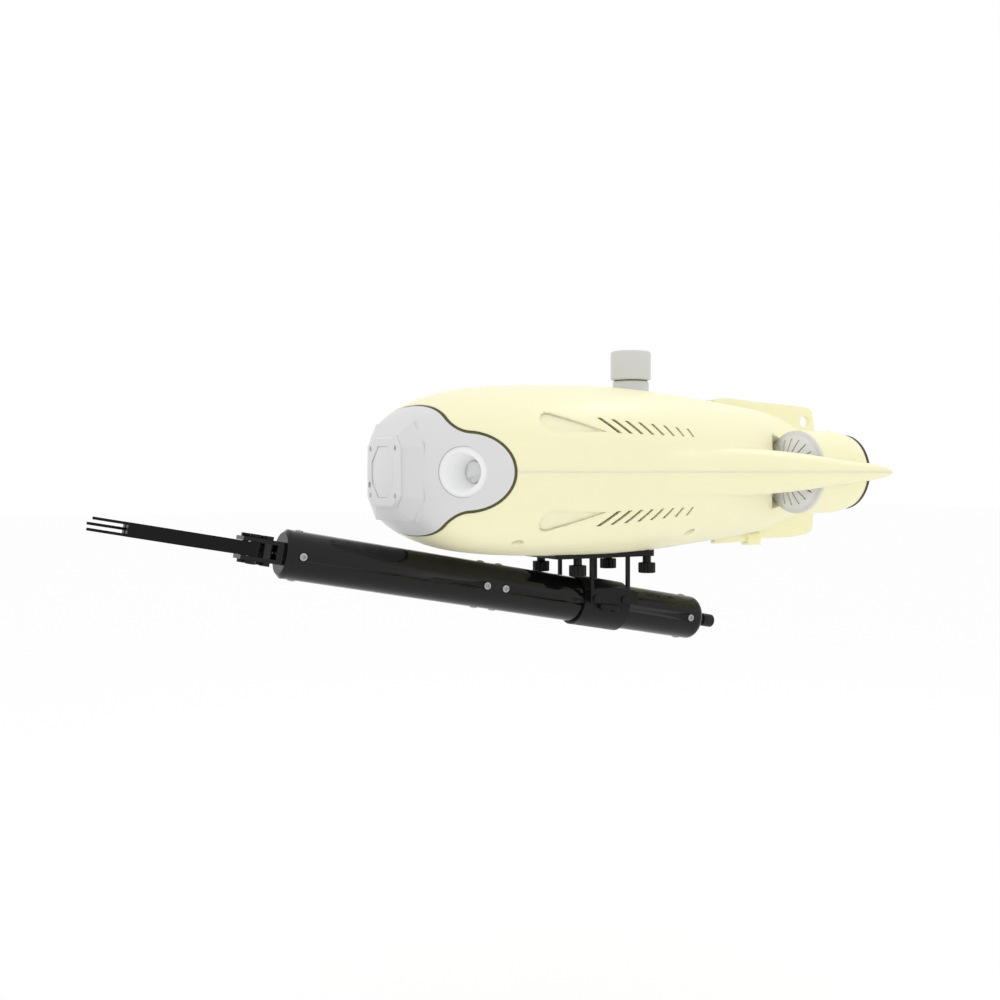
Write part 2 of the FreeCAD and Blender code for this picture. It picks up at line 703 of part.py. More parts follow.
def camera_bezel():
    """Eight-sided frame round the window, with a chamfered front edge."""
    outline = octagon(BEZEL_HALF_WIDTH, BEZEL_HALF_HEIGHT, BEZEL_CORNER)
    frame = bezel_prism(outline, FACE_X, BEZEL_DEPTH)
    front = [edge for edge in frame.Edges if min(v.X for v in edge.Vertexes) > BEZEL_FRONT - 0.01]
    frame = frame.makeChamfer(BEZEL_CHAMFER, front)
    frame = frame.cut(bezel_prism(opening_points(0), FACE_X - 1, BEZEL_DEPTH + 2))
    for y in (BEZEL_SCREW_Y, -BEZEL_SCREW_Y):
        for z in (BEZEL_SCREW_Z, -BEZEL_SCREW_Z):
            frame = frame.cut(rod(V(FACE_X - 1, y, z), V(1, 0, 0), PAN_SHANK / 2 + FIT, 10))
            seat = rod(V(BEZEL_FRONT - 1.2, y, z), V(1, 0, 0), BEZEL_SCREW_RADIUS + FIT, 10)
            frame = frame.cut(seat)
    return frame.cut(rod(V(FACE_X - 1, SENSOR_Y, SENSOR_Z), V(1, 0, 0), SENSOR_RADIUS + FIT, 10))


def bezel_screws():
    """Four small screws at the corners of the bezel."""
    screws = []
    for y in (BEZEL_SCREW_Y, -BEZEL_SCREW_Y):
        for z in (BEZEL_SCREW_Z, -BEZEL_SCREW_Z):
            head = rod(V(BEZEL_FRONT - 1.2, y, z), V(1, 0, 0), BEZEL_SCREW_RADIUS, 1.2)
            shank = rod(V(FACE_X - 2.4, y, z), V(1, 0, 0), PAN_SHANK / 2, 4)
            screws.append(head.fuse(shank))
    return Part.makeCompound(screws)


def light_sensor():
    """Small round sensor window beside the camera."""
    return rod(V(FACE_X - 2.4, SENSOR_Y, SENSOR_Z), V(1, 0, 0), SENSOR_RADIUS, BEZEL_DEPTH + 2.6)


def camera_window():
    """Thick window with a faintly crowned outer face."""
    pane = bezel_prism(opening_points(FIT), FACE_X - 1.2, WINDOW_THICK + WINDOW_RISE)
    reach = OPENING_HALF_WIDTH
    radius = (reach ** 2 + WINDOW_RISE ** 2) / (2 * WINDOW_RISE)
    front = FACE_X - 1.2 + WINDOW_THICK + WINDOW_RISE
    return pane.common(Part.makeSphere(radius, V(front - radius, 0, 0)))


def camera_module():
    """Stepped lens barrel with its square sensor housing behind."""
    front = FACE_X - 1.2 - CAMERA_GAP
    profile = [
        V(front - CAMERA_BODY, 0, 0), V(front - CAMERA_BODY, CAMERA_RADIUS, 0),
        V(front - 14, CAMERA_RADIUS, 0), V(front - 14, CAMERA_RADIUS + 2, 0),
        V(front - 9, CAMERA_RADIUS + 2, 0), V(front - 9, CAMERA_RADIUS, 0),
        V(front, CAMERA_RADIUS, 0), V(front, CAMERA_RADIUS - 2.5, 0),
        V(front - 3.5, 5.5, 0), V(front - 3.5, 0, 0),
    ]
    barrel = turned(profile, V(0, 0, 0), V(1, 0, 0))
    rear = front - CAMERA_BODY
    foot = CAN_FRONT + CAP_THICK
    return barrel.fuse(block(foot, rear + 6, -13, 13, -13, 13))


def lamp_parts():
    """Sunk disc with a flared reflector, lens and light-source board of the port lamp."""
    axis = lamp_direction()
    base = lamp_floor()
    bar_in_hole = pocket_bar(POCKET_RADIUS)
    under = hull_form(POCKET_SINK)
    disc = bar_in_hole.common(under).cut(hull_form(POCKET_SINK + DISC_THICK))
    bowl = lamp_cone(LAMP_WALL, -3.0, LAMP_DEPTH + 3.0).common(under).common(bar_in_hole)
    bowl = disc.fuse(bowl).cut(lamp_cone(0, 0, LAMP_DEPTH + 1))
    seat_radius = LAMP_FLOOR_RADIUS - LAMP_SEAT_STEP
    bowl = bowl.cut(rod(base - axis * 3.1, axis, seat_radius, 4))
    board = rod(base - axis * 2.9, axis, seat_radius - FIT, LAMP_BOARD)
    die = rod(base - axis * (2.9 - LAMP_BOARD), axis, LAMP_DIE_RADIUS, 0.8)
    lens = rod(base + axis * FIT, axis, LAMP_FLOOR_RADIUS - FIT, LAMP_LENS)
    return bowl, lens, board.fuse(die)


# ------------------------------------------------------------------ pressure canister

def canister_parts():
    """Sealed tube, its two caps, the O-rings, the battery and the control board."""
    forward = V(1, 0, 0)
    length = CAN_FRONT - CAN_REAR
    shell = tube(V(CAN_REAR, 0, 0), forward, CAN_RADIUS, CAN_RADIUS - CAN_WALL, length)
    bore = CAN_RADIUS - CAN_WALL
    spigot = bore - FIT
    groove = bore - SEAL_SECTION - 2 * SEAL_PLAY

    def cap(face_x, sign):
        profile = [
            V(face_x, 0, 0), V(face_x + sign * CAP_THICK, 0, 0),
            V(face_x + sign * CAP_THICK, CAN_RADIUS - 2, 0),
            V(face_x + sign * (CAP_THICK - 2), CAN_RADIUS, 0), V(face_x, CAN_RADIUS, 0),
            V(face_x, spigot, 0), V(face_x - sign * 2.6, spigot, 0),
            V(face_x - sign * 2.6, groove, 0), V(face_x - sign * 5.0, groove, 0),
            V(face_x - sign * 5.0, spigot, 0), V(face_x - sign * CAP_SPIGOT, spigot, 0),
            V(face_x - sign * CAP_SPIGOT, 0, 0),
        ]
        return turned(profile, V(0, 0, 0), forward)

    def ring(face_x, sign):
        mid = face_x - sign * 3.8
        middle = bore - SEAL_PLAY - SEAL_SECTION / 2
        half = SEAL_SECTION / 2
        flat = half * math.tan(math.pi / 8)
        corners = ((half, flat), (flat, half), (-flat, half), (-half, flat),
                   (-half, -flat), (-flat, -half), (flat, -half), (half, -flat))
        section = [V(mid + along, middle + out, 0) for along, out in corners]
        return turned(section, V(0, 0, 0), forward)

    front_cap = cap(CAN_FRONT, 1)
    rear_cap = cap(CAN_REAR, -1)
    seals = Part.makeCompound([ring(CAN_FRONT, 1), ring(CAN_REAR, -1)])
    return shell, front_cap, rear_cap, seals


def battery_pack():
    """Two sticks of round cells side by side in one shrunk sleeve."""
    cells = []
    for y in (-CELL_RADIUS, CELL_RADIUS):
        cells.append(rod(V(BATTERY_REAR, y, BATTERY_Z), V(1, 0, 0), CELL_RADIUS, BATTERY_LENGTH))
    web = block(BATTERY_REAR, BATTERY_FRONT, -CELL_RADIUS, CELL_RADIUS,
                BATTERY_Z - CELL_RADIUS, BATTERY_Z + CELL_RADIUS)
    return cells[0].fuse([cells[1], web]).removeSplitter()


def battery_cradle():
    """Two saddles that carry the battery and the board inside the canister."""
    bore = CAN_RADIUS - CAN_WALL - FIT
    saddles = []
    pack = battery_space()
    for x in (BATTERY_REAR + 12, BATTERY_FRONT - 18):
        disc = rod(V(x, 0, 0), V(1, 0, 0), bore, 6)
        disc = disc.common(block(x - 1, x + 7, -40, 40, -40, BOARD_Z))
        saddles.append(disc.cut(pack))
    return Part.makeCompound(saddles)


def battery_space():
    """The battery's room: its own outline and a fit all round."""
    half = 2 * CELL_RADIUS + FIT
    low = BATTERY_Z - CELL_RADIUS - FIT
    return block(BATTERY_REAR - 1, BATTERY_FRONT + 1, -half, half, low, BATTERY_Z + CELL_RADIUS + FIT)


def control_board():
    """Circuit board with its processor, drivers and two plugs."""
    rear = BOARD_REAR
    front = BOARD_FRONT
    board = block(rear, front, -BOARD_HALF_WIDTH, BOARD_HALF_WIDTH, BOARD_Z, BOARD_Z + BOARD_THICK)
    top = BOARD_Z + BOARD_THICK
    chips = [block(front - 38, front - 20, -9, 9, top, top + 2.2),
             block(front - 56, front - 46, -6, 6, top, top + 1.6)]
    for k in range(5):
        x = rear + 14 + k * 16
        chips.append(block(x, x + 7, 8, 16, top, top + 2.0))
    chips.append(block(front - 9, front - 1, -18, -6, top, top + 6.5))
    chips.append(block(rear + 1, rear + 9, -18, -2, top, top + 6.5))
    return board.fuse(chips)


# ------------------------------------------------------------------ thrusters

def blade_section(radius, pitch, chord, thick):
    """Lens-shaped section of a blade, laid across the Z axis at a radius."""
    lean = math.radians(pitch)
    along = V(0, math.cos(lean), math.sin(lean))
    normal = V(0, -math.sin(lean), math.cos(lean))
    middle = V(radius, 0, 0)
    nose = middle + along * (chord / 2)
    heel = middle - along * (chord / 2)
    back = Part.Arc(nose, middle + normal * (thick * 0.75), heel).toShape()
    front = Part.Arc(heel, middle - normal * (thick * 0.25), nose).toShape()
    return Part.Wire([back, front])


def propeller(bore, tip_gap):
    """Hub with a domed end and twisted blades, on +Z, shaft bore from z = 0."""
    hub_radius = bore * HUB_SHARE
    tip = bore - tip_gap
    scale = bore / DUCT_BORE
    profile = [
        V(SHAFT_RADIUS + RUNNING, 0, 0), V(hub_radius, 0, 0), V(hub_radius, 0, HUB_LENGTH - 2.5),
        V(hub_radius - 1.5, 0, HUB_LENGTH - 0.6), V(hub_radius - 3.4, 0, HUB_LENGTH),
        V(SHAFT_RADIUS + RUNNING, 0, HUB_LENGTH),
    ]
    hub = turned(profile, V(0, 0, 0), V(0, 0, 1))
    solids = []
    for k in range(BLADES):
        wires = []
        for share in (0.0, 0.5, 1.0):
            radius = hub_radius - 0.8 + (tip - hub_radius + 0.8) * share
            pitch = ROOT_PITCH + (TIP_PITCH - ROOT_PITCH) * share
            chord = BLADE_CHORD * scale * (0.62 + 0.9 * share - 0.62 * share * share)
            thick = BLADE_THICK * (1 - 0.45 * share)
            wires.append(blade_section(radius, pitch, chord, thick))
        blade = Part.makeLoft(wires, True, False)
        blade.translate(V(0, 0, HUB_LENGTH * 0.45))
        blade.rotate(V(0, 0, 0), V(0, 0, 1), 360 * k / BLADES)
        solids.append(blade)
    swept = tube(V(0, 0, -8), V(0, 0, 1), tip, SHAFT_RADIUS + RUNNING, 30)
    return hub.fuse(solids).common(swept)


def motor(bore):
    """Sealed motor on +Z with a three-armed spider that reaches the bore."""
    radius = bore * MOTOR_SHARE
    profile = [
        V(0, 0, 0), V(radius - 2, 0, 0), V(radius, 0, 2), V(radius, 0, MOTOR_LENGTH - 1),
        V(radius - 1, 0, MOTOR_LENGTH), V(0, 0, MOTOR_LENGTH),
    ]
    case = turned(profile, V(0, 0, 0), V(0, 0, 1))
    arms = []
    for k in range(3):
        arm = block(0, bore + 2, -SPIDER_THICK / 2, SPIDER_THICK / 2, 5, 14)
        arm.rotate(V(0, 0, 0), V(0, 0, 1), 120 * k + 60)
        arms.append(arm)
    spider = arms[0].fuse(arms[1:]).common(rod(V(0, 0, 4), V(0, 0, 1), bore - FIT, 12))
    shaft = rod(V(0, 0, MOTOR_LENGTH - 1), V(0, 0, 1), SHAFT_RADIUS, SHAFT_LENGTH + 1)
    return case.fuse([spider, shaft])


def facing_aft(shape, x, y):
    """Turn a shape built on +Z so that it points to the stern, at x and y."""
    placed = shape.copy()
    placed.rotate(V(0, 0, 0), V(0, 1, 0), -90)
    placed.translate(V(x, y, 0))
    return placed


def upright(shape, x, y, z):
    """Move a shape built on +Z to its place in the hull."""
    placed = shape.copy()
    placed.translate(V(x, y, z))
    return placed


def thruster_guard():
    """Slotted dome in front of the port stern thruster."""
    ball = Part.makeSphere(GUARD_SPHERE, GUARD_CENTRE)
    dome = ball.cut(Part.makeSphere(GUARD_SPHERE - GUARD_WALL, GUARD_CENTRE))
    ahead = rod(duct_axis_point(DUCT_FRONT), V(1, 0, 0), GUARD_RADIUS, GUARD_RISE + 1)
    dome = dome.common(ahead)
    base = tube(duct_axis_point(DUCT_FRONT), V(1, 0, 0), GUARD_RADIUS, DUCT_BORE + 0.3, 2.0)
    dome = dome.fuse(base)
    slots = []
    for k in range(GUARD_SLOTS):
        slot = block(DUCT_FRONT + 2.6, DUCT_FRONT + GUARD_RISE + 2, -GUARD_SLOT / 2, GUARD_SLOT / 2,
                     GUARD_HUB + 3, DUCT_BORE - 1.0)
        slot.rotate(V(0, 0, 0), V(1, 0, 0), 360 * k / GUARD_SLOTS)
        slot.translate(V(0, DUCT_Y, 0))
        slots.append(slot)
    return dome.cut(slots)


def duct_rim():
    """Dark ring on the port duct's rear edge."""
    ring = tube(duct_axis_point(DUCT_REAR), V(-1, 0, 0), RIM_RADIUS, DUCT_BORE, RIM_DEPTH)
    rear = [e for e in ring.Edges if abs(e.BoundBox.XMax - (DUCT_REAR - RIM_DEPTH)) < 0.01]
    return ring.makeChamfer(0.6, rear)


def tunnel(x, y, room):
    """Open-ended tube for a vertical thruster, trimmed to the inside of the hull."""
    pipe = tube(V(x, y, -80), V(0, 0, 1), TUNNEL_BORE + TUNNEL_WALL, TUNNEL_BORE, 160)
    return pipe.common(room)


# ------------------------------------------------------------------ crown port

def tether_port():
    """Threaded collar on the crown with a flange under the shell."""
    profile = [
        V(COLLAR_BORE, 0, COLLAR_FLOOR), V(COLLAR_FLANGE, 0, COLLAR_FLOOR),
        V(COLLAR_FLANGE, 0, COLLAR_FLOOR + 4), V(COLLAR_RADIUS, 0, COLLAR_FLOOR + 4),
        V(COLLAR_RADIUS, 0, COLLAR_TOP - 1), V(COLLAR_RADIUS - 1, 0, COLLAR_TOP),
        V(COLLAR_BORE, 0, COLLAR_TOP),
    ]
    collar = turned(profile, V(0, 0, 0), V(0, 0, 1))
    stalk = rod(V(0, 0, CAN_RADIUS + SOFT_GAP), V(0, 0, 1), 9.5, COLLAR_FLOOR - CAN_RADIUS - SOFT_GAP)
    contacts = []
    for k in range(4):
        angle = math.radians(45 + 90 * k)
        foot = V(2.6 * math.cos(angle), 2.6 * math.sin(angle), COLLAR_FLOOR - 1)
        contacts.append(rod(foot, V(0, 0, 1), 0.8, 3.4))
    fused = collar.fuse([stalk] + contacts)
    fused.translate(V(PORT_X, 0, 0))
    return fused


def port_seal():
    ring = tube(V(PORT_X, 0, COLLAR_TOP), V(0, 0, 1), COLLAR_RADIUS - 1.2, COLLAR_BORE + 0.6, PORT_SEAL_DEPTH)
    return ring


def port_cap():
    """Round-shouldered cap with a threaded stem that turns in the collar."""
    low = COLLAR_TOP + PORT_SEAL_DEPTH
    top = CAP_TOP - CAP_ROUND
    deg45 = math.sqrt(0.5)
    stem = COLLAR_BORE - RUNNING
    floor = low - CAP_STEM
    corner = V(CAP_RADIUS - CAP_ROUND + CAP_ROUND * deg45, 0, top + CAP_ROUND * deg45)
    edges = [
        Part.makeLine(V(0, 0, floor), V(stem, 0, floor)),
        Part.makeLine(V(stem, 0, floor), V(stem, 0, low)),
        Part.makeLine(V(stem, 0, low), V(CAP_RADIUS - 1, 0, low)),
        Part.makeLine(V(CAP_RADIUS - 1, 0, low), V(CAP_RADIUS, 0, low + 1)),
        Part.makeLine(V(CAP_RADIUS, 0, low + 1), V(CAP_RADIUS, 0, top)),
        Part.Arc(V(CAP_RADIUS, 0, top), corner, V(CAP_RADIUS - CAP_ROUND, 0, CAP_TOP)).toShape(),
        Part.makeLine(V(CAP_RADIUS - CAP_ROUND, 0, CAP_TOP), V(0, 0, CAP_TOP)),
        Part.makeLine(V(0, 0, CAP_TOP), V(0, 0, floor)),
    ]
    cap = Part.Face(Part.Wire(edges)).revolve(V(0, 0, 0), V(0, 0, 1), 360)
    cap.translate(V(PORT_X, 0, 0))
    return cap


def hull_screws():
    """Four screws that draw the lower shell up to the upper one."""
    screws = []
    for x, y in HULL_BOSSES:
        for side in (y, -y):
            underside = V(x, side, -SCREW_RECESS - SCREW_HEAD_DEPTH)
            head = rod(underside, V(0, 0, 1), SCREW_HEAD_RADIUS, SCREW_HEAD_DEPTH)
            shank = rod(V(x, side, -SCREW_RECESS), V(0, 0, 1), SCREW_RADIUS, SCREW_RECESS + SCREW_GRIP)
            screws.append(head.fuse(shank))
    return Part.makeCompound(screws)


# ------------------------------------------------------------------ bracket under the belly

def bracket_plate():
    """Wedge plate with its top hollowed to the belly and four holes for the thumb screws."""
    plate = block(PLATE_REAR, PLATE_FRONT, -PLATE_HALF_WIDTH, PLATE_HALF_WIDTH,
                  PLATE_BOTTOM, PLATE_BOTTOM + 16)
    upright_edges = [e for e in plate.Edges if e.BoundBox.ZLength > 10]
    plate = plate.makeFillet(PLATE_ROUND, upright_edges)
    plate = plate.cut(hull_form(-SOFT_GAP))
    holes = [rod(V(x, y, -80), V(0, 0, 1), THUMB_RADIUS + RUNNING, 60) for x, y in knob_places()]
    return max(plate.cut(holes).Solids, key=lambda solid: solid.Volume)


def side_frame():
    """Port hanger: two slim legs on a side plate, cut from one sheet."""
    rear = LEG_REAR
    front = LEG_FRONT
    outline = [
        (front, PLATE_BOTTOM), (front - LEG_WIDTH, PLATE_BOTTOM), (front - LEG_WIDTH, SIDE_TOP),
        (rear + LEG_WIDTH, SIDE_TOP), (rear + LEG_WIDTH, PLATE_BOTTOM), (rear, PLATE_BOTTOM),
        (rear, TAB_TOP), (rear - TAB_LENGTH, TAB_TOP - 1.5), (rear - TAB_LENGTH, SIDE_REAR_BOTTOM),
        (front, SIDE_FRONT_BOTTOM),
    ]
    sheet = polygon([V(x, FRAME_Y, z) for x, z in outline], V(0, FRAME_THICK, 0))
    holes = [rod(V(x, 0, z), V(0, 1, 0), PAN_SHANK + FIT, 40) for x, z in FRAME_SCREWS]
    return sheet.cut(holes)


def in_claw(shape):
    """Move a shape built along the claw's own axis to its place under the hull."""
    placed = shape.copy()
    placed.rotate(V(0, 0, 0), V(0, 1, 0), -CLAW_TILT)
    placed.translate(V(CLAW_X, 0, CLAW_Z))
    return placed


def bar(start, radius, length):
    """Round bar on the claw's axis, in the claw's own frame."""
    return rod(V(start, 0, 0), V(1, 0, 0), radius, length)


def strap_screw_places():
    """Foot points of the strap's screws in the claw's own frame."""
    half = STRAP_SCREW_SPACING / 2
    return [V(CLAMP_CENTRE + step, side, -EAR_DEPTH)
            for step in (half, -half) for side in (STRAP_SCREW_Y, -STRAP_SCREW_Y)]


def clamp_parts():
    """Saddle between the side frames, and the strap that closes round the tube."""
    rear = CLAMP_CENTRE - CLAMP_LENGTH / 2
    sleeve = bar(rear, CLAMP_RADIUS, CLAMP_LENGTH)
    bore = in_claw(bar(rear - 5, CLAMP_BORE, CLAMP_LENGTH + 10))
    above = in_claw(block(rear - 5, rear + CLAMP_LENGTH + 5, -40, 40, 0, 60))
    below = in_claw(block(rear - 5, rear + CLAMP_LENGTH + 5, -40, 40, -60, 0))
    cheeks = block(LEG_REAR + 1, LEG_FRONT - 1, -FRAME_Y, FRAME_Y, SIDE_REAR_BOTTOM - 8, SIDE_TOP - 1)
    saddle = in_claw(sleeve).fuse(cheeks).common(above).cut(bore)
    ears = block(CLAMP_CENTRE - EAR_HALF_LENGTH, CLAMP_CENTRE + EAR_HALF_LENGTH,
                 -EAR_HALF_WIDTH, EAR_HALF_WIDTH, -EAR_DEPTH, 0)
    corners = [e for e in ears.Edges if e.BoundBox.ZLength > EAR_DEPTH - 0.01]
    ears = ears.makeFillet(2.5, corners)
    strap = in_claw(sleeve.fuse(ears)).common(below).cut(bore)
    holes = []
    for side in (1, -1):
        for x, z in FRAME_SCREWS:
            start = V(x, side * (FRAME_Y + 1), z)
            holes.append(rod(start, V(0, -side, 0), PAN_SHANK + FIT, SIDE_SCREW_GRIP + 1.4))
    saddle = saddle.cut(holes)
    for foot in strap_screw_places():
        shank = rod(foot, V(0, 0, 1), STRAP_SCREW_RADIUS + FIT, EAR_DEPTH + STRAP_SCREW_GRIP + 0.5)
        head = rod(foot - V(0, 0, 1), V(0, 0, 1), STRAP_HEAD_RADIUS + FIT, STRAP_HEAD_DEPTH + 1)
        strap = strap.cut(in_claw(shank.fuse(head)))
        saddle = saddle.cut(in_claw(shank))
    saddle = max(saddle.Solids, key=lambda solid: solid.Volume)
    return saddle, strap


def frame_screws():
    """Pan-head screws of the side frames and sunk screws of the strap."""
    screws = []
    face = FRAME_Y + FRAME_THICK
    for side in (1, -1):
        for x, z in FRAME_SCREWS:
            head = rod(V(x, side * face, z), V(0, side, 0), PAN_RADIUS, PAN_DEPTH)
            shank = rod(V(x, side * face, z), V(0, -side, 0), PAN_SHANK, FRAME_THICK + SIDE_SCREW_GRIP)
            screws.append(head.fuse(shank))
    for foot in strap_screw_places():
        head = rod(foot, V(0, 0, 1), STRAP_HEAD_RADIUS, STRAP_HEAD_DEPTH)
        shank = rod(foot, V(0, 0, 1), STRAP_SCREW_RADIUS, EAR_DEPTH + STRAP_SCREW_GRIP)
        screws.append(in_claw(head.fuse(shank)))
    return Part.makeCompound(screws)


def thumb_screw():
    """Fluted knob, neck and threaded shank on the Z axis at its real height."""
    knob = rod(V(0, 0, KNOB_BOTTOM), V(0, 0, 1), KNOB_RADIUS, KNOB_DEPTH)
    rims = [e for e in knob.Edges if e.BoundBox.ZLength < 0.01]
    knob = knob.makeChamfer(0.8, rims)
    flutes = []
    for k in range(KNOB_FLUTES):
        angle = 2 * math.pi * k / KNOB_FLUTES
        at = V(math.cos(angle), math.sin(angle), 0) * (KNOB_RADIUS + KNOB_FLUTE * 0.35)
        flutes.append(rod(V(at.x, at.y, KNOB_BOTTOM - 1), V(0, 0, 1), KNOB_FLUTE, KNOB_DEPTH + 2))
    knob = knob.cut(flutes)
    neck_low = KNOB_BOTTOM + KNOB_DEPTH
    neck = rod(V(0, 0, neck_low), V(0, 0, 1), NECK_RADIUS, PLATE_BOTTOM - RUNNING - neck_low)
    shank = rod(V(0, 0, neck_low), V(0, 0, 1), THUMB_RADIUS, THUMB_TOP - neck_low)
    return knob.fuse([neck, shank])


# ------------------------------------------------------------------ claw

def around(shape):
    """Four copies of a shape, turned by quarters round the claw's axis."""
    copies = []
    for k in range(4):
        copy = shape.copy()
        copy.rotate(V(0, 0, 0), V(1, 0, 0), 90 * k)
        copies.append(copy)
    return copies


def tube_screw_holes():
    holes = []
    for s in TUBE_SCREW_STATIONS:
        holes.extend(around(rod(V(s, 11.5, 0), V(0, 1, 0), PAN_SHANK + FIT, 6)))
    return holes


def tube_screws():
    """Pan-head screws round the tube's ends and its middle joint."""
    screws = []
    for s in TUBE_SCREW_STATIONS:
        head = rod(V(s, TUBE_RADIUS - 0.4, 0), V(0, 1, 0), PAN_RADIUS, PAN_DEPTH)
        shank = rod(V(s, TUBE_RADIUS - 0.4, 0), V(0, -1, 0), PAN_SHANK, 3.6)
        screws.extend(around(head.fuse(shank)))
    return in_claw(Part.makeCompound(screws))


def head_seats():
    """Shallow flats under the heads of the tube's screws."""
    seats = []
    for s in TUBE_SCREW_STATIONS:
        seats.extend(around(rod(V(s, TUBE_RADIUS - 0.4, 0), V(0, 1, 0), PAN_RADIUS + FIT, 3)))
    return seats


def claw_tubes():
    """Front and rear tube of the claw's body."""
    front = tube(V(TUBE_JOINT, 0, 0), V(1, 0, 0), TUBE_RADIUS, BORE_RADIUS, TUBE_FRONT - TUBE_JOINT)
    rear = tube(V(TUBE_REAR, 0, 0), V(1, 0, 0), TUBE_RADIUS, BORE_RADIUS, TUBE_JOINT - TUBE_REAR)
    cuts = tube_screw_holes() + head_seats()
    return in_claw(front.cut(cuts)), in_claw(rear.cut(cuts))


def joint_sleeve():
    """Inner sleeve that joins the two tubes."""
    rear = V(TUBE_JOINT - JOINT_SPIGOT, 0, 0)
    sleeve = tube(rear, V(1, 0, 0), SPIGOT_RADIUS, SPIGOT_RADIUS - 3, 2 * JOINT_SPIGOT)
    return in_claw(sleeve.cut(tube_screw_holes()))


def claw_head():
    """Front end of the claw: plug in the tube, chamfered flange and two fork plates."""
    chamfer = 2.4
    profile = [
        V(TUBE_FRONT - JOINT_SPIGOT, ROD_RADIUS + RUNNING, 0),
        V(TUBE_FRONT - JOINT_SPIGOT, SPIGOT_RADIUS, 0),
        V(TUBE_FRONT, SPIGOT_RADIUS, 0), V(TUBE_FRONT, TUBE_RADIUS, 0),
        V(HEAD_FACE - chamfer, TUBE_RADIUS, 0), V(HEAD_FACE, TUBE_RADIUS - chamfer, 0),
        V(HEAD_FACE, ROD_RADIUS + RUNNING, 0),
    ]
    head = turned(profile, V(0, 0, 0), V(1, 0, 0)).cut(tube_screw_holes())
    top = FORK_GAP + FORK_PLATE
    plates = []
    for low in (FORK_GAP, -top):
        half = FORK_HALF_WIDTH
        outline = [
            V(HEAD_FACE - 1, -half + 3, low), V(FORK_TIP - 5, -half, low), V(FORK_TIP, -half + 5, low),
            V(FORK_TIP, half - 5, low), V(FORK_TIP - 5, half, low), V(HEAD_FACE - 1, half - 3, low),
        ]
        plates.append(polygon(outline, V(0, 0, FORK_PLATE)))
    for side in (FORK_WEB_Y, 3 - FORK_HALF_WIDTH):
        width = FORK_HALF_WIDTH - 3 - FORK_WEB_Y
        plates.append(block(HEAD_FACE - 1, FORK_WEB_END, side, side + width, -FORK_GAP, FORK_GAP))
    head = head.fuse(plates)
    holes = [bar(TUBE_FRONT, ROD_RADIUS + RUNNING, HEAD_FACE - TUBE_FRONT)]
    for y in (PIVOT_Y, -PIVOT_Y):
        holes.append(rod(V(PIVOT_S, y, -20), V(0, 0, 1), PIVOT_RADIUS + 0.02, 40))
        holes.append(rod(V(FORK_BOLT_S, y, -20), V(0, 0, 1), FORK_BOLT_RADIUS + 0.02, 40))
    return in_claw(head.cut(holes))


def fork_bolt(s, y, radius):
    """Bolt through both fork plates with a round head above and a hexagon nut below."""
    top = FORK_GAP + FORK_PLATE
    shank = rod(V(s, y, -top - BOLT_HEAD_DEPTH), V(0, 0, 1), radius, 2 * top + BOLT_HEAD_DEPTH + 1)
    head = rod(V(s, y, top), V(0, 0, 1), BOLT_HEAD_RADIUS, BOLT_HEAD_DEPTH)
    socket = rod(V(s, y, top + BOLT_HEAD_DEPTH - 1.2), V(0, 0, 1), 1.2, 2)
    return shank.fuse(head).cut(socket)


def fork_nut(s, y, radius):
    top = FORK_GAP + FORK_PLATE
    corners = []
    for k in range(6):
        angle = math.radians(60 * k)
        corners.append(V(s + 3.3 * math.cos(angle), y + 3.3 * math.sin(angle), -top - BOLT_HEAD_DEPTH))
    nut = polygon(corners, V(0, 0, BOLT_HEAD_DEPTH))
    return nut.cut(rod(V(s, y, -top - 4), V(0, 0, 1), radius + 0.02, 6))


def fork_hardware():
    """Jaw pivots, fork bolts, nuts and the spacers between the plates."""
    bolts = []
    nuts = []
    spacers = []
    for y in (PIVOT_Y, -PIVOT_Y):
        bolts.append(fork_bolt(PIVOT_S, y, PIVOT_RADIUS))
        bolts.append(fork_bolt(FORK_BOLT_S, y, FORK_BOLT_RADIUS))
        nuts.append(fork_nut(PIVOT_S, y, PIVOT_RADIUS))
        nuts.append(fork_nut(FORK_BOLT_S, y, FORK_BOLT_RADIUS))
        spacers.append(tube(V(FORK_BOLT_S, y, -FORK_GAP), V(0, 0, 1), SPACER_RADIUS,
                            FORK_BOLT_RADIUS + RUNNING, 2 * FORK_GAP))
    return [in_claw(Part.makeCompound(group)) for group in (bolts, nuts, spacers)]


def crank_angle():
    """Crank's lean behind the crosswise line while the jaws are shut."""
    return math.radians(THROW_DEGREES / 2)


def crank_pin_place():
    """Crank pin of the port jaw while the jaws are shut."""
    lean = crank_angle()
    return V(PIVOT_S - CRANK * math.sin(lean), PIVOT_Y - CRANK * math.cos(lean), 0)


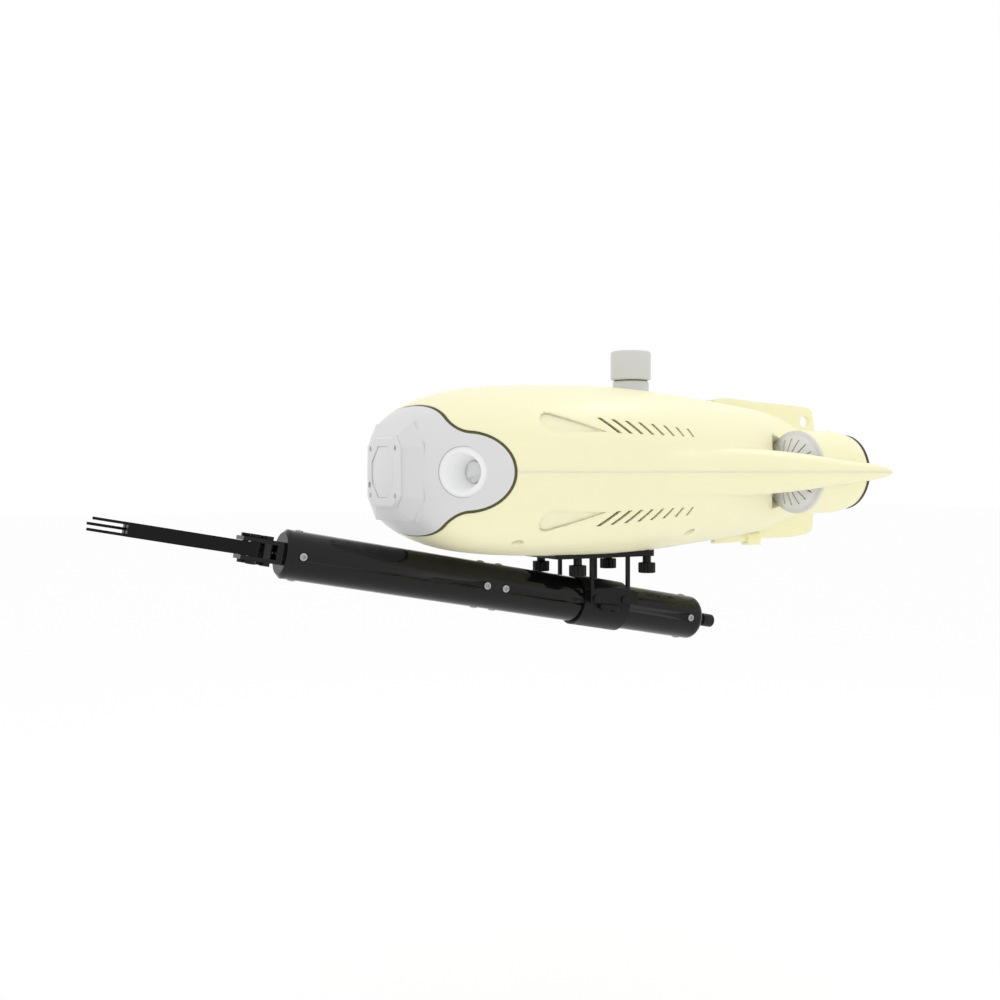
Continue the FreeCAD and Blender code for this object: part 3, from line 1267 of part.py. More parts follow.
def jaw(layer, tines):
    """Port-side jaw: bowed finger with tines, root, and a crank in the upper or lower layer."""
    inner = Part.Arc(V(JAW_STEP, 2.4, 0), V(66, 7.0, 0), V(TINE_START, 1.6, 0)).toShape()
    tip = Part.makeLine(V(TINE_START, 1.6, 0), V(TINE_START, 7.4, 0))
    outer = Part.Arc(V(TINE_START, 7.4, 0), V(66, 14.4, 0), V(JAW_STEP, 12.4, 0)).toShape()
    root = Part.makeLine(V(JAW_STEP, 12.4, 0), V(JAW_STEP, 2.4, 0))
    face = Part.Face(Part.Wire([inner, tip, outer, root]))
    face.translate(V(0, 0, -JAW_HALF))
    finger = face.extrude(V(0, 0, 2 * JAW_HALF))

    neck = polygon([
        V(PIVOT_S, PIVOT_Y - EYE_BOSS_RADIUS, -JAW_HALF), V(JAW_STEP + 2, 3.2, -JAW_HALF),
        V(JAW_STEP + 2, 12.0, -JAW_HALF), V(PIVOT_S, PIVOT_Y + EYE_BOSS_RADIUS, -JAW_HALF),
    ], V(0, 0, 2 * JAW_HALF))
    eye = rod(V(PIVOT_S, PIVOT_Y, -JAW_HALF), V(0, 0, 1), EYE_BOSS_RADIUS, 2 * JAW_HALF)
    relief = block(PIVOT_S - 12, JAW_STEP - 0.5, -1, PIVOT_Y, -CRANK_LAYER, CRANK_LAYER)
    relief = relief.cut(rod(V(PIVOT_S, PIVOT_Y, -9), V(0, 0, 1), RELIEF_RADIUS, 18))
    body = finger.fuse([neck, eye]).cut(relief)

    pin_at = crank_pin_place()
    low = CRANK_LAYER if layer > 0 else -JAW_HALF
    high = JAW_HALF if layer > 0 else -CRANK_LAYER
    across = (pin_at - V(PIVOT_S, PIVOT_Y, 0)).normalize()
    side = V(-across.y, across.x, 0) * CRANK_HALF_WIDTH
    pivot = V(PIVOT_S, PIVOT_Y, 0)
    corners = [pivot + side, pin_at + side, pin_at - side, pivot - side]
    arm = polygon([V(p.x, p.y, low) for p in corners], V(0, 0, high - low))
    knuckle = rod(V(pin_at.x, pin_at.y, low), V(0, 0, 1), CRANK_HALF_WIDTH, high - low)
    pin_low = 0.1 if layer > 0 else -CRANK_LAYER - 0.5
    pin_high = CRANK_LAYER + 0.5 if layer > 0 else -0.1
    pin = rod(V(pin_at.x, pin_at.y, pin_low), V(0, 0, 1), CRANK_PIN, pin_high - pin_low)
    body = body.fuse([arm, knuckle, pin])
    body = body.cut(rod(V(PIVOT_S, PIVOT_Y, -20), V(0, 0, 1), PIVOT_RADIUS + RUNNING, 40))
    return body.fuse([tine(level, reach) for level, reach in tines])


def tine(level, reach):
    """Slim hooked tooth at the finger's end that crosses the middle plane."""
    low = level * TINE_PITCH - TINE_THICK / 2
    outline = [
        V(TINE_START - 1, 1.8, low), V(TINE_START - 1, 7.4, low), V(TINE_START + 8, 5.2, low),
        V(reach - 2, 0.4, low), V(reach, -2.0, low), V(reach - 1.4, -2.6, low), V(TINE_START + 9, 0.9, low),
    ]
    return polygon(outline, V(0, 0, TINE_THICK))


def claw_jaws():
    """Port jaw with the outer tines, starboard jaw with the middle one."""
    upper, middle, lower = TINE_TIPS
    port = jaw(1, [(1, upper), (-1, lower)])
    starboard = mirrored(jaw(-1, [(0, middle)]))
    return in_claw(port), in_claw(starboard)


def push_rod():
    """Round rod with the screw's nut bored in its rear and the slotted crosshead in front."""
    head_rear = PIVOT_S - CRANK * math.sin(crank_angle()) - 5.0
    stem_end = HEAD_FACE - 2 * CRANK * math.sin(crank_angle()) - 0.5
    stem = bar(ROD_REAR, ROD_RADIUS, stem_end - ROD_REAR)
    stem = stem.cut(bar(ROD_REAR - 1, LEAD_RADIUS + RUNNING, LEAD_LENGTH + 2))
    blade = CRANK_LAYER - 0.1
    neck = block(stem_end - 1, head_rear + 1, -3.4, 3.4, -blade, blade)
    centre = crank_pin_place().x
    plate = block(head_rear, centre + 3.6, -CROSSHEAD_HALF, CROSSHEAD_HALF, -blade, blade)
    half_slot = CRANK_PIN + SLOT_PLAY
    slot_end = CROSSHEAD_HALF - 1.3
    slot = block(centre - half_slot, centre + half_slot, -slot_end, slot_end, -blade - 1, blade + 1)
    return in_claw(stem.fuse([neck, plate]).cut(slot))


def lead_screw():
    """Screw on the motor's shaft; it turns in the push rod's nut."""
    shaft = bar(GEAR_MOTOR_FRONT + RUNNING, LEAD_RADIUS, LEAD_LENGTH)
    collar = bar(GEAR_MOTOR_FRONT + RUNNING, LEAD_RADIUS + 1.6, 4)
    return in_claw(shaft.fuse(collar))


def gear_motor():
    """Geared motor with the front flange that centres it in the tube."""
    rear = GEAR_MOTOR_FRONT - GEAR_MOTOR_LENGTH
    profile = [
        V(rear, 0, 0), V(rear, 4, 0), V(rear + 3, 4, 0), V(rear + 3, GEAR_MOTOR_RADIUS, 0),
        V(GEAR_MOTOR_FRONT - 6, GEAR_MOTOR_RADIUS, 0), V(GEAR_MOTOR_FRONT - 6, SPIGOT_RADIUS, 0),
        V(GEAR_MOTOR_FRONT, SPIGOT_RADIUS, 0), V(GEAR_MOTOR_FRONT, 0, 0),
    ]
    return in_claw(turned(profile, V(0, 0, 0), V(1, 0, 0)))


def rear_cap():
    """Rounded rear end of the claw with a stub for the lead's plug."""
    deg45 = math.sqrt(0.5)
    back = TUBE_REAR - REAR_CAP_LENGTH
    round_r = REAR_CAP_ROUND
    bend = V(back + round_r - round_r * deg45, TUBE_RADIUS - round_r + round_r * deg45, 0)
    edges = [
        Part.makeLine(V(TUBE_REAR + JOINT_SPIGOT, 0, 0), V(TUBE_REAR + JOINT_SPIGOT, SPIGOT_RADIUS, 0)),
        Part.makeLine(V(TUBE_REAR + JOINT_SPIGOT, SPIGOT_RADIUS, 0), V(TUBE_REAR, SPIGOT_RADIUS, 0)),
        Part.makeLine(V(TUBE_REAR, SPIGOT_RADIUS, 0), V(TUBE_REAR, TUBE_RADIUS, 0)),
        Part.makeLine(V(TUBE_REAR, TUBE_RADIUS, 0), V(back + round_r, TUBE_RADIUS, 0)),
        Part.Arc(V(back + round_r, TUBE_RADIUS, 0), bend, V(back, TUBE_RADIUS - round_r, 0)).toShape(),
        Part.makeLine(V(back, TUBE_RADIUS - round_r, 0), V(back, 0, 0)),
        Part.makeLine(V(back, 0, 0), V(TUBE_REAR + JOINT_SPIGOT, 0, 0)),
    ]
    cap = Part.Face(Part.Wire(edges)).revolve(V(0, 0, 0), V(1, 0, 0), 360)
    slit = block(TUBE_REAR + 4, TUBE_REAR + JOINT_SPIGOT + 1, -CLAW_BOARD_HALF - FIT, CLAW_BOARD_HALF + FIT,
                 -FIT, CLAW_BOARD_THICK + FIT)
    return in_claw(cap.cut(tube_screw_holes() + [slit]))


def claw_board():
    """Small motor-drive board held in a slit of the rear cap."""
    start = TUBE_REAR + 4 + FIT
    board = block(start, start + CLAW_BOARD_LENGTH, -CLAW_BOARD_HALF, CLAW_BOARD_HALF, 0, CLAW_BOARD_THICK)
    top = CLAW_BOARD_THICK
    chips = [block(start + 20, start + 30, -5, 5, top, top + 1.8),
             block(start + 40, start + 48, -7, 7, top, top + 5.5)]
    return in_claw(board.fuse(chips))


def rear_connector():
    """Necked stub where the claw's lead plugs on."""
    back = TUBE_REAR - REAR_CAP_LENGTH
    stub = bar(back - STUB_LENGTH, STUB_RADIUS, STUB_LENGTH - STUB_NECK_LENGTH)
    end = [e for e in stub.Edges if abs(e.BoundBox.XMax - (back - STUB_LENGTH)) < 0.01]
    stub = stub.makeChamfer(0.8, end)
    stub = stub.fuse(bar(back - STUB_NECK_LENGTH, STUB_NECK_RADIUS, STUB_NECK_LENGTH))
    socket = bar(back - STUB_LENGTH - 1, STUB_RADIUS - 1.4, 5)
    return in_claw(stub.cut(socket))


# ------------------------------------------------------------------ export

def port_and_starboard(name, shape):
    return {"port_" + name: shape, "starboard_" + name: mirrored(shape)}


def pair(shape):
    """The shape and its mirror image as two solids of one node."""
    return Part.makeCompound([shape, mirrored(shape)])


def build():
    nodes = {}
    upper, lower, mask, seam = hull_parts()
    room = hull_form(SHELL_WALL + FIT)
    nodes["upper_shell"] = upper
    nodes["lower_shell"] = lower
    nodes["face_mask"] = mask
    nodes["face_seam_seal"] = seam
    nodes["camera_bezel"] = camera_bezel()
    nodes["bezel_screws"] = bezel_screws()
    nodes["light_sensor"] = light_sensor()
    nodes["camera_window"] = camera_window()
    nodes["camera_module"] = camera_module()
    bowl, lens, board = lamp_parts()
    nodes["lamp_reflectors"] = pair(bowl)
    nodes["lamp_lenses"] = pair(lens)
    nodes["lamp_boards"] = pair(board)

    can, front_cap, rear_plug, seals = canister_parts()
    nodes["pressure_canister"] = can
    nodes["canister_front_cap"] = front_cap
    nodes["canister_rear_cap"] = rear_plug
    nodes["canister_seals"] = seals
    nodes["battery_pack"] = battery_pack()
    nodes["battery_cradle"] = battery_cradle()
    nodes["control_board"] = control_board()

    stern_motor = facing_aft(motor(DUCT_BORE), DUCT_FRONT + 1, DUCT_Y)
    stern_screw = facing_aft(propeller(DUCT_BORE, REAR_TIP_GAP), DUCT_FRONT + 1 - MOTOR_LENGTH - 1.2, DUCT_Y)
    nodes.update(port_and_starboard("thruster_guard", thruster_guard()))
    nodes["stern_motors"] = pair(stern_motor)
    nodes.update(port_and_starboard("stern_propeller", stern_screw))
    nodes["duct_rims"] = pair(duct_rim())

    lift_motor = motor(TUNNEL_BORE)
    lift_screw = propeller(TUNNEL_BORE, TUNNEL_TIP_GAP)
    side_tunnel = tunnel(SIDE_X, SIDE_Y, room)
    side_motor = upright(lift_motor, SIDE_X, SIDE_Y, LIFT_BASE)
    nodes["lift_tunnels"] = Part.makeCompound([side_tunnel, mirrored(side_tunnel), tunnel(TAIL_X, 0, room)])
    nodes["lift_motors"] = Part.makeCompound([side_motor, mirrored(side_motor),
                                              upright(lift_motor, TAIL_X, 0, LIFT_BASE)])
    screw_base = LIFT_BASE + MOTOR_LENGTH + 1.2
    side_screw = upright(lift_screw, SIDE_X, SIDE_Y, screw_base)
    nodes.update(port_and_starboard("lift_propeller", side_screw))
    nodes["tail_propeller"] = upright(lift_screw, TAIL_X, 0, screw_base)

    nodes["tether_port"] = tether_port()
    nodes["port_seal"] = port_seal()
    nodes["port_cap"] = port_cap()
    nodes["hull_screws"] = hull_screws()

    saddle, strap = clamp_parts()
    nodes["bracket_plate"] = bracket_plate()
    nodes.update(port_and_starboard("side_frame", side_frame()))
    nodes["clamp_saddle"] = saddle
    nodes["clamp_strap"] = strap
    nodes["frame_screws"] = frame_screws()
    for index, (x, y) in enumerate(knob_places()):
        name = ("front_", "rear_")[index // 2] + ("port_", "starboard_")[index % 2] + "thumb_screw"
        knob = thumb_screw()
        knob.translate(V(x, y, 0))
        nodes[name] = knob

    front_tube, rear_tube = claw_tubes()
    bolts, nuts, spacers = fork_hardware()
    port_jaw, starboard_jaw = claw_jaws()
    nodes["claw_front_tube"] = front_tube
    nodes["claw_rear_tube"] = rear_tube
    nodes["claw_joint_sleeve"] = joint_sleeve()
    nodes["claw_head"] = claw_head()
    nodes["claw_rear_cap"] = rear_cap()
    nodes["claw_connector"] = rear_connector()
    nodes["claw_tube_screws"] = tube_screws()
    nodes["claw_board"] = claw_board()
    nodes["gear_motor"] = gear_motor()
    nodes["lead_screw"] = lead_screw()
    nodes["push_rod"] = push_rod()
    nodes["fork_bolts"] = bolts
    nodes["fork_nuts"] = nuts
    nodes["fork_spacers"] = spacers
    nodes["port_jaw"] = port_jaw
    nodes["starboard_jaw"] = starboard_jaw
    return nodes


os.makedirs("parts", exist_ok=True)
for node, solid in build().items():
    solid.exportStep("parts/" + node + ".step")
    print(node, len(solid.Solids), round(solid.Volume, 1))
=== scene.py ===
# %% [markdown]
# # An underwater inspection vehicle with a grabber claw
# The engineering model arrives as a fixed frame: every piece already lies where the real one does, and
# every moving piece already hangs on its body. This lesson gives the pieces their final skins, their
# finishes and their light. Loading comes first, because each skin is made from a piece of the frame and
# moves with that piece's body.

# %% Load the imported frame
import json
import math

import bmesh
import bpy
import numpy as np
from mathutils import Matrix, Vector


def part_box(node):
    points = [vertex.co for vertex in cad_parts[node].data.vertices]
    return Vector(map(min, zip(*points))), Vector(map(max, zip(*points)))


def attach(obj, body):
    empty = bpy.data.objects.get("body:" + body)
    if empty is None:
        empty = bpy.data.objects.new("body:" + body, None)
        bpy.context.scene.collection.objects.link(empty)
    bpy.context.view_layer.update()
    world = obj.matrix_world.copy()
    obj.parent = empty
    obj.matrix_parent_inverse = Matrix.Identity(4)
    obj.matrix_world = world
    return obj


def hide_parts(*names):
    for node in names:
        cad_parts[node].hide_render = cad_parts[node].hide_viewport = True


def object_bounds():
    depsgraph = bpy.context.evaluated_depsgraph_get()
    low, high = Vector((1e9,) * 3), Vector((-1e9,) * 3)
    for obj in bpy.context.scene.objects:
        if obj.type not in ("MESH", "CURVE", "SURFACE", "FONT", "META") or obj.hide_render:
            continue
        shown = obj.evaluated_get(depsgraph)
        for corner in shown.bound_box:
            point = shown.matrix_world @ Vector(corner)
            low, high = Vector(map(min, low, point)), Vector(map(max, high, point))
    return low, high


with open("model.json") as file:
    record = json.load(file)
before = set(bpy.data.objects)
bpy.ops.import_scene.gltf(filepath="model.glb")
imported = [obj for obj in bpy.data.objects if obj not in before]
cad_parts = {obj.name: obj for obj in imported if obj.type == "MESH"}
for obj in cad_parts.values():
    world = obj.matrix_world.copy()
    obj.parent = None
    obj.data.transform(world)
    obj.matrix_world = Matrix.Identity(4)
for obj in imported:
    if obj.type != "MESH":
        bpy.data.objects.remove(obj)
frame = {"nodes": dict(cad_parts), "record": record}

cad_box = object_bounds()
nodes = frame["nodes"]
body_of = {name: body for body, names in frame["record"]["behaviour"]["bodies"].items() for name in names}
slot_of = {part["node"]: part["material_slot"] for part in frame["record"]["subparts"]}

# %% [markdown]
# # The camera
# The vehicle is seen from its port side, a little ahead of abeam and level with its axis. A level camera
# keeps upright lines upright; a small downward shift of the lens, instead of a tilt, puts the hull above
# the middle.

# %% Place the camera
EYE = Vector((0.5076, 0.7599, 0.0))
LOOK = Vector((-0.4787, -0.8780, 0.0))
camera_data = bpy.data.cameras.new("level_camera")
camera_data.lens = 45.0
camera_data.sensor_width = 36.0
camera_data.shift_y = -0.028
camera_data.clip_start = 0.01
camera = bpy.data.objects.new("level_camera", camera_data)
camera.location = EYE
camera.rotation_euler = LOOK.to_track_quat("-Z", "Y").to_euler()
bpy.context.scene.collection.objects.link(camera)
bpy.context.scene.camera = camera
print("camera looks from", tuple(round(v, 3) for v in EYE))

# %% [markdown]
# # Shader groups
# Several finishes share the same small effects: a slow drift of colour, the grain of a moulded surface,
# and the faint rubs that handling leaves in a gloss. Each effect is built once as a node group with named
# inputs and outputs, so a finish only has to place it and choose its values. The groups put out colours,
# values and heights; the shader itself stays in the material.

# %% Helpers for node groups
def new_group(name, inputs, outputs):
    """Empty shader group. Inputs and outputs are (name, socket type, default) and (name, socket type)."""
    group = bpy.data.node_groups.new(name, "ShaderNodeTree")
    for label, kind, default in inputs:
        socket = group.interface.new_socket(name=label, in_out="INPUT", socket_type=kind)
        if default is not None:
            socket.default_value = default
    for label, kind in outputs:
        group.interface.new_socket(name=label, in_out="OUTPUT", socket_type=kind)
    entry = group.nodes.new("NodeGroupInput")
    leave = group.nodes.new("NodeGroupOutput")
    return group, entry, leave


def noise(tree, vector, scale, detail, roughness=0.5):
    """Noise texture on a vector; scale is a socket or a number."""
    node = tree.nodes.new("ShaderNodeTexNoise")
    node.inputs["Detail"].default_value = detail
    node.inputs["Roughness"].default_value = roughness
    tree.links.new(vector, node.inputs["Vector"])
    if isinstance(scale, (int, float)):
        node.inputs["Scale"].default_value = scale
    else:
        tree.links.new(scale, node.inputs["Scale"])
    return node.outputs["Fac"]


def math_node(tree, operation, first, second):
    """One arithmetic step between two sockets or numbers."""
    node = tree.nodes.new("ShaderNodeMath")
    node.operation = operation
    for index, value in enumerate((first, second)):
        if isinstance(value, (int, float)):
            node.inputs[index].default_value = value
        else:
            tree.links.new(value, node.inputs[index])
    return node.outputs[0]


def value_range(tree, value, low, high, start=0.3, stop=0.7):
    """Map a noise value from start..stop to low..high, clamped."""
    node = tree.nodes.new("ShaderNodeMapRange")
    node.inputs["From Min"].default_value = start
    node.inputs["From Max"].default_value = stop
    tree.links.new(value, node.inputs["Value"])
    for label, bound in (("To Min", low), ("To Max", high)):
        if isinstance(bound, (int, float)):
            node.inputs[label].default_value = bound
        else:
            tree.links.new(bound, node.inputs[label])
    return node.outputs["Result"]


# %% Build the shared groups
SPECKLE_FINER = 45.0
SPECKLE_SHARE = 0.25
CELLS_FINER = 1.4
SCRATCH_STRETCH = (18.0, 160.0, 160.0)
SCRATCH_TURN = (0.3, 0.15, 0.5)


def colour_drift_group():
    """Colour = mix of two near colours by a slow noise plus a little fine speckle."""
    group, entry, leave = new_group("colour_drift", [
        ("Place", "NodeSocketVector", None), ("Size", "NodeSocketFloat", 12.0),
        ("Light", "NodeSocketColor", (1, 1, 1, 1)), ("Dark", "NodeSocketColor", (0, 0, 0, 1)),
    ], [("Colour", "NodeSocketColor")])
    slow = noise(group, entry.outputs["Place"], entry.outputs["Size"], 2.0)
    speckle_scale = math_node(group, "MULTIPLY", entry.outputs["Size"], SPECKLE_FINER)
    speckle = noise(group, entry.outputs["Place"], speckle_scale, 2.0)
    slow_part = math_node(group, "MULTIPLY", slow, 1.0 - SPECKLE_SHARE)
    speckle_part = math_node(group, "MULTIPLY", speckle, SPECKLE_SHARE)
    share = value_range(group, math_node(group, "ADD", slow_part, speckle_part), 0.0, 1.0)
    mix = group.nodes.new("ShaderNodeMix")
    mix.data_type = "RGBA"
    group.links.new(share, mix.inputs["Factor"])
    group.links.new(entry.outputs["Light"], mix.inputs["A"])
    group.links.new(entry.outputs["Dark"], mix.inputs["B"])
    group.links.new(mix.outputs["Result"], leave.inputs["Colour"])
    return group


def moulded_grain_group():
    """Height = fine noise plus a cell pattern, as spark-eroded mould faces leave on plastic."""
    group, entry, leave = new_group("moulded_grain", [
        ("Place", "NodeSocketVector", None), ("Fineness", "NodeSocketFloat", 900.0),
        ("Cells", "NodeSocketFloat", 0.5),
    ], [("Height", "NodeSocketFloat")])
    fine = noise(group, entry.outputs["Place"], entry.outputs["Fineness"], 4.0, 0.6)
    cells = group.nodes.new("ShaderNodeTexVoronoi")
    group.links.new(entry.outputs["Place"], cells.inputs["Vector"])
    cell_scale = math_node(group, "MULTIPLY", entry.outputs["Fineness"], CELLS_FINER)
    group.links.new(cell_scale, cells.inputs["Scale"])
    pits = math_node(group, "MULTIPLY", cells.outputs["Distance"], entry.outputs["Cells"])
    group.links.new(math_node(group, "ADD", fine, pits), leave.inputs["Height"])
    return group


def handling_rubs_group():
    """Roughness between two bounds: broad smears crossed by short, thin, stretched scratches."""
    group, entry, leave = new_group("handling_rubs", [
        ("Place", "NodeSocketVector", None), ("Smooth", "NodeSocketFloat", 0.2),
        ("Rubbed", "NodeSocketFloat", 0.35),
    ], [("Roughness", "NodeSocketFloat")])
    stretch = group.nodes.new("ShaderNodeMapping")
    stretch.inputs["Scale"].default_value = SCRATCH_STRETCH
    stretch.inputs["Rotation"].default_value = SCRATCH_TURN
    group.links.new(entry.outputs["Place"], stretch.inputs["Vector"])
    thin = noise(group, stretch.outputs["Vector"], 4.0, 5.0, 0.7)
    scratches = value_range(group, thin, 0.0, 1.0, 0.62, 0.72)
    smears = noise(group, entry.outputs["Place"], 22.0, 3.0, 0.55)
    broad = value_range(group, smears, 0.0, 0.8)
    mask = math_node(group, "MAXIMUM", broad, scratches)
    result = value_range(group, mask, entry.outputs["Smooth"], entry.outputs["Rubbed"], 0.0, 1.0)
    group.links.new(result, leave.inputs["Roughness"])
    return group


def lathe_lines_group():
    """Height = noise drawn out into fine lines by a scale per axis, as a lathe or brush leaves on metal."""
    group, entry, leave = new_group("lathe_lines", [
        ("Place", "NodeSocketVector", None), ("Pull", "NodeSocketVector", (1.0, 0.02, 0.02)),
        ("Fineness", "NodeSocketFloat", 4000.0),
    ], [("Height", "NodeSocketFloat")])
    scaled = group.nodes.new("ShaderNodeVectorMath")
    scaled.operation = "MULTIPLY"
    group.links.new(entry.outputs["Place"], scaled.inputs[0])
    group.links.new(entry.outputs["Pull"], scaled.inputs[1])
    lines = noise(group, scaled.outputs["Vector"], entry.outputs["Fineness"], 3.0, 0.6)
    group.links.new(lines, leave.inputs["Height"])
    return group


groups = {
    "drift": colour_drift_group(),
    "grain": moulded_grain_group(),
    "rubs": handling_rubs_group(),
    "lines": lathe_lines_group(),
}
print("shader groups:", ", ".join(group.name for group in groups.values()))

# %% [markdown]
# # Finishes
# A finish is one material: a base colour that drifts a little, a roughness with faint rubs, and a bump
# fine enough to break the reflection without being seen as a pattern. The numbers that stay the same all
# over a surface, such as coat or metal, are set on the shader itself.

# %% One function for all opaque finishes
RELIEF_DEPTH = 0.0002
DRIFT_SIZE = 12.0
COAT_ROUGHNESS = 0.05


def place(group_name, tree, texture):
    """Put a shared group into a material, on the piece's own Object coordinates."""
    node = tree.nodes.new("ShaderNodeGroup")
    node.node_tree = groups[group_name]
    tree.links.new(texture.outputs["Object"], node.inputs["Place"])
    return node


def rubbed_material(name, smooth, rubbed):
    """New material whose roughness runs from smooth to rubbed, with its tree, shader and coordinates."""
    material = bpy.data.materials.new(name)
    material.use_nodes = True
    tree = material.node_tree
    shader = tree.nodes["Principled BSDF"]
    texture = tree.nodes.new("ShaderNodeTexCoord")
    rubs = place("rubs", tree, texture)
    rubs.inputs["Smooth"].default_value = smooth
    rubs.inputs["Rubbed"].default_value = rubbed
    tree.links.new(rubs.outputs["Roughness"], shader.inputs["Roughness"])
    return material, tree, shader, texture


def add_relief(tree, shader, height, bump):
    """Bump on the shader from a group's height."""
    relief = tree.nodes.new("ShaderNodeBump")
    relief.inputs["Strength"].default_value = bump
    relief.inputs["Distance"].default_value = RELIEF_DEPTH
    tree.links.new(height.outputs["Height"], relief.inputs["Height"])
    tree.links.new(relief.outputs["Normal"], shader.inputs["Normal"])


def finish(name, light, dark, smooth, rubbed, grain=None, lines=None, bump=0.0, metal=0.0, coat=0.0,
           specular=0.5):
    """Opaque finish: drifting colour, rubbed roughness, and a bump from grain or lathe lines."""
    material, tree, shader, texture = rubbed_material(name, smooth, rubbed)
    colour = place("drift", tree, texture)
    colour.inputs["Size"].default_value = DRIFT_SIZE
    colour.inputs["Light"].default_value = (*light, 1.0)
    colour.inputs["Dark"].default_value = (*dark, 1.0)
    tree.links.new(colour.outputs["Colour"], shader.inputs["Base Color"])
    if grain is not None:
        height = place("grain", tree, texture)
        height.inputs["Fineness"].default_value = grain
        add_relief(tree, shader, height, bump)
    elif lines is not None:
        height = place("lines", tree, texture)
        height.inputs["Pull"].default_value = lines
        add_relief(tree, shader, height, bump)
    shader.inputs["Metallic"].default_value = metal
    shader.inputs["Coat Weight"].default_value = coat
    shader.inputs["Coat Roughness"].default_value = COAT_ROUGHNESS
    shader.inputs["Specular IOR Level"].default_value = specular
    return material


# %% One function for the panes
PANE_SPREAD = 0.04
PANE_IOR = 1.49


def clear(name, tint, roughness, through):
    """Clear or milky pane: part of the light goes through, with a faintly uneven polish."""
    material, _, shader, _ = rubbed_material(name, roughness, roughness + PANE_SPREAD)
    shader.inputs["Base Color"].default_value = (*tint, 1.0)
    shader.inputs["Transmission Weight"].default_value = through
    shader.inputs["IOR"].default_value = PANE_IOR
    return material


# %% Make the finishes
ACROSS_CLAW = (1.0, 0.03, 0.03)
UPRIGHT_TURN = (0.05, 0.05, 1.0)
SCREW_FACE = (1.0, 1.0, 0.1)


def grey(level):
    """A neutral colour of one level, a trace cooler towards blue."""
    return (level, level * 1.003, level * 1.006)


materials = {
    "hull_yellow": finish("hull_yellow", (0.958, 0.915, 0.618), (0.948, 0.902, 0.602), 0.38, 0.41,
                          grain=1600.0, bump=0.006, specular=0.30),
    "mask_grey": finish("mask_grey", grey(0.715), grey(0.700), 0.34, 0.38, grain=1500.0, bump=0.008,
                        specular=0.35),
    "seam_rubber": finish("seam_rubber", (0.115, 0.112, 0.040), (0.085, 0.082, 0.030), 0.55, 0.70,
                          grain=900.0, bump=0.2, specular=0.2),
    "bezel_grey": finish("bezel_grey", grey(0.735), grey(0.710), 0.32, 0.42, grain=700.0, bump=0.08),
    "screw_steel": finish("screw_steel", grey(0.430), grey(0.360), 0.22, 0.34, lines=SCREW_FACE,
                          bump=0.08, metal=1.0),
    "dark_lens": finish("dark_lens", grey(0.260), grey(0.220), 0.08, 0.16, coat=0.3),
    "window_glass": clear("window_glass", (0.93, 0.935, 0.94), 0.16, through=0.25),
    "black_plastic": finish("black_plastic", grey(0.016), grey(0.011), 0.38, 0.52, grain=1100.0,
                            bump=0.15, specular=0.2),
    "lamp_grey": finish("lamp_grey", grey(0.890), grey(0.870), 0.25, 0.35, grain=800.0, bump=0.05),
    "lens_clear": clear("lens_clear", (0.95, 0.955, 0.96), 0.08, through=0.35),
    "board_white": finish("board_white", (0.860, 0.860, 0.840), (0.820, 0.820, 0.800), 0.30, 0.42,
                          grain=1500.0, bump=0.1),
    "anodised_black": finish("anodised_black", grey(0.024), grey(0.017), 0.30, 0.42, lines=ACROSS_CLAW,
                             bump=0.12, metal=0.6),
    "battery_wrap": finish("battery_wrap", (0.060, 0.140, 0.360), (0.050, 0.115, 0.300), 0.25, 0.38,
                           grain=300.0, bump=0.2),
    "circuit_green": finish("circuit_green", (0.015, 0.130, 0.060), (0.010, 0.095, 0.045), 0.28, 0.40,
                            grain=1200.0, bump=0.2),
    "guard_grey": finish("guard_grey", grey(0.750), grey(0.730), 0.36, 0.42, grain=1500.0, bump=0.02),
    "motor_black": finish("motor_black", grey(0.300), grey(0.260), 0.35, 0.50, lines=UPRIGHT_TURN,
                          bump=0.10, metal=0.4),
    "propeller_grey": finish("propeller_grey", grey(0.660), grey(0.625), 0.30, 0.42, grain=900.0,
                             bump=0.10),
    "rim_black": finish("rim_black", (0.070, 0.068, 0.045), (0.055, 0.053, 0.036), 0.50, 0.65,
                        grain=900.0, bump=0.2, specular=0.2),
    "port_grey": finish("port_grey", grey(0.655), grey(0.630), 0.36, 0.48, grain=800.0, bump=0.10,
                        specular=0.3),
    "bracket_black": finish("bracket_black", grey(0.009), grey(0.006), 0.34, 0.48, grain=1300.0,
                            bump=0.25, specular=0.2),
    "screw_black": finish("screw_black", grey(0.022), grey(0.014), 0.30, 0.42, lines=SCREW_FACE,
                          bump=0.1, metal=0.8),
    "knob_black": finish("knob_black", grey(0.009), grey(0.006), 0.36, 0.50, grain=1200.0, bump=0.2,
                         specular=0.2),
    "claw_black": finish("claw_black", grey(0.0055), grey(0.0035), 0.07, 0.11, lines=ACROSS_CLAW,
                         bump=0.006, specular=0.26),
    "motor_steel": finish("motor_steel", (0.500, 0.500, 0.490), (0.430, 0.430, 0.425), 0.28, 0.40,
                          lines=ACROSS_CLAW, bump=0.1, metal=1.0),
    "jaw_black": finish("jaw_black", grey(0.007), grey(0.005), 0.26, 0.40, grain=1100.0, bump=0.15,
                        specular=0.12),
}
print(len(materials), "finishes")

# %% [markdown]
# # Light inside the shell walls
# The shells are moulded in a pale plastic that light enters a little before it comes out again, so thin
# walls, louvre edges and grooves look soft and not cut from chalk. Subsurface scattering on the shader
# does this; it is the same all over the surface, so it is set on the shader's own sockets.

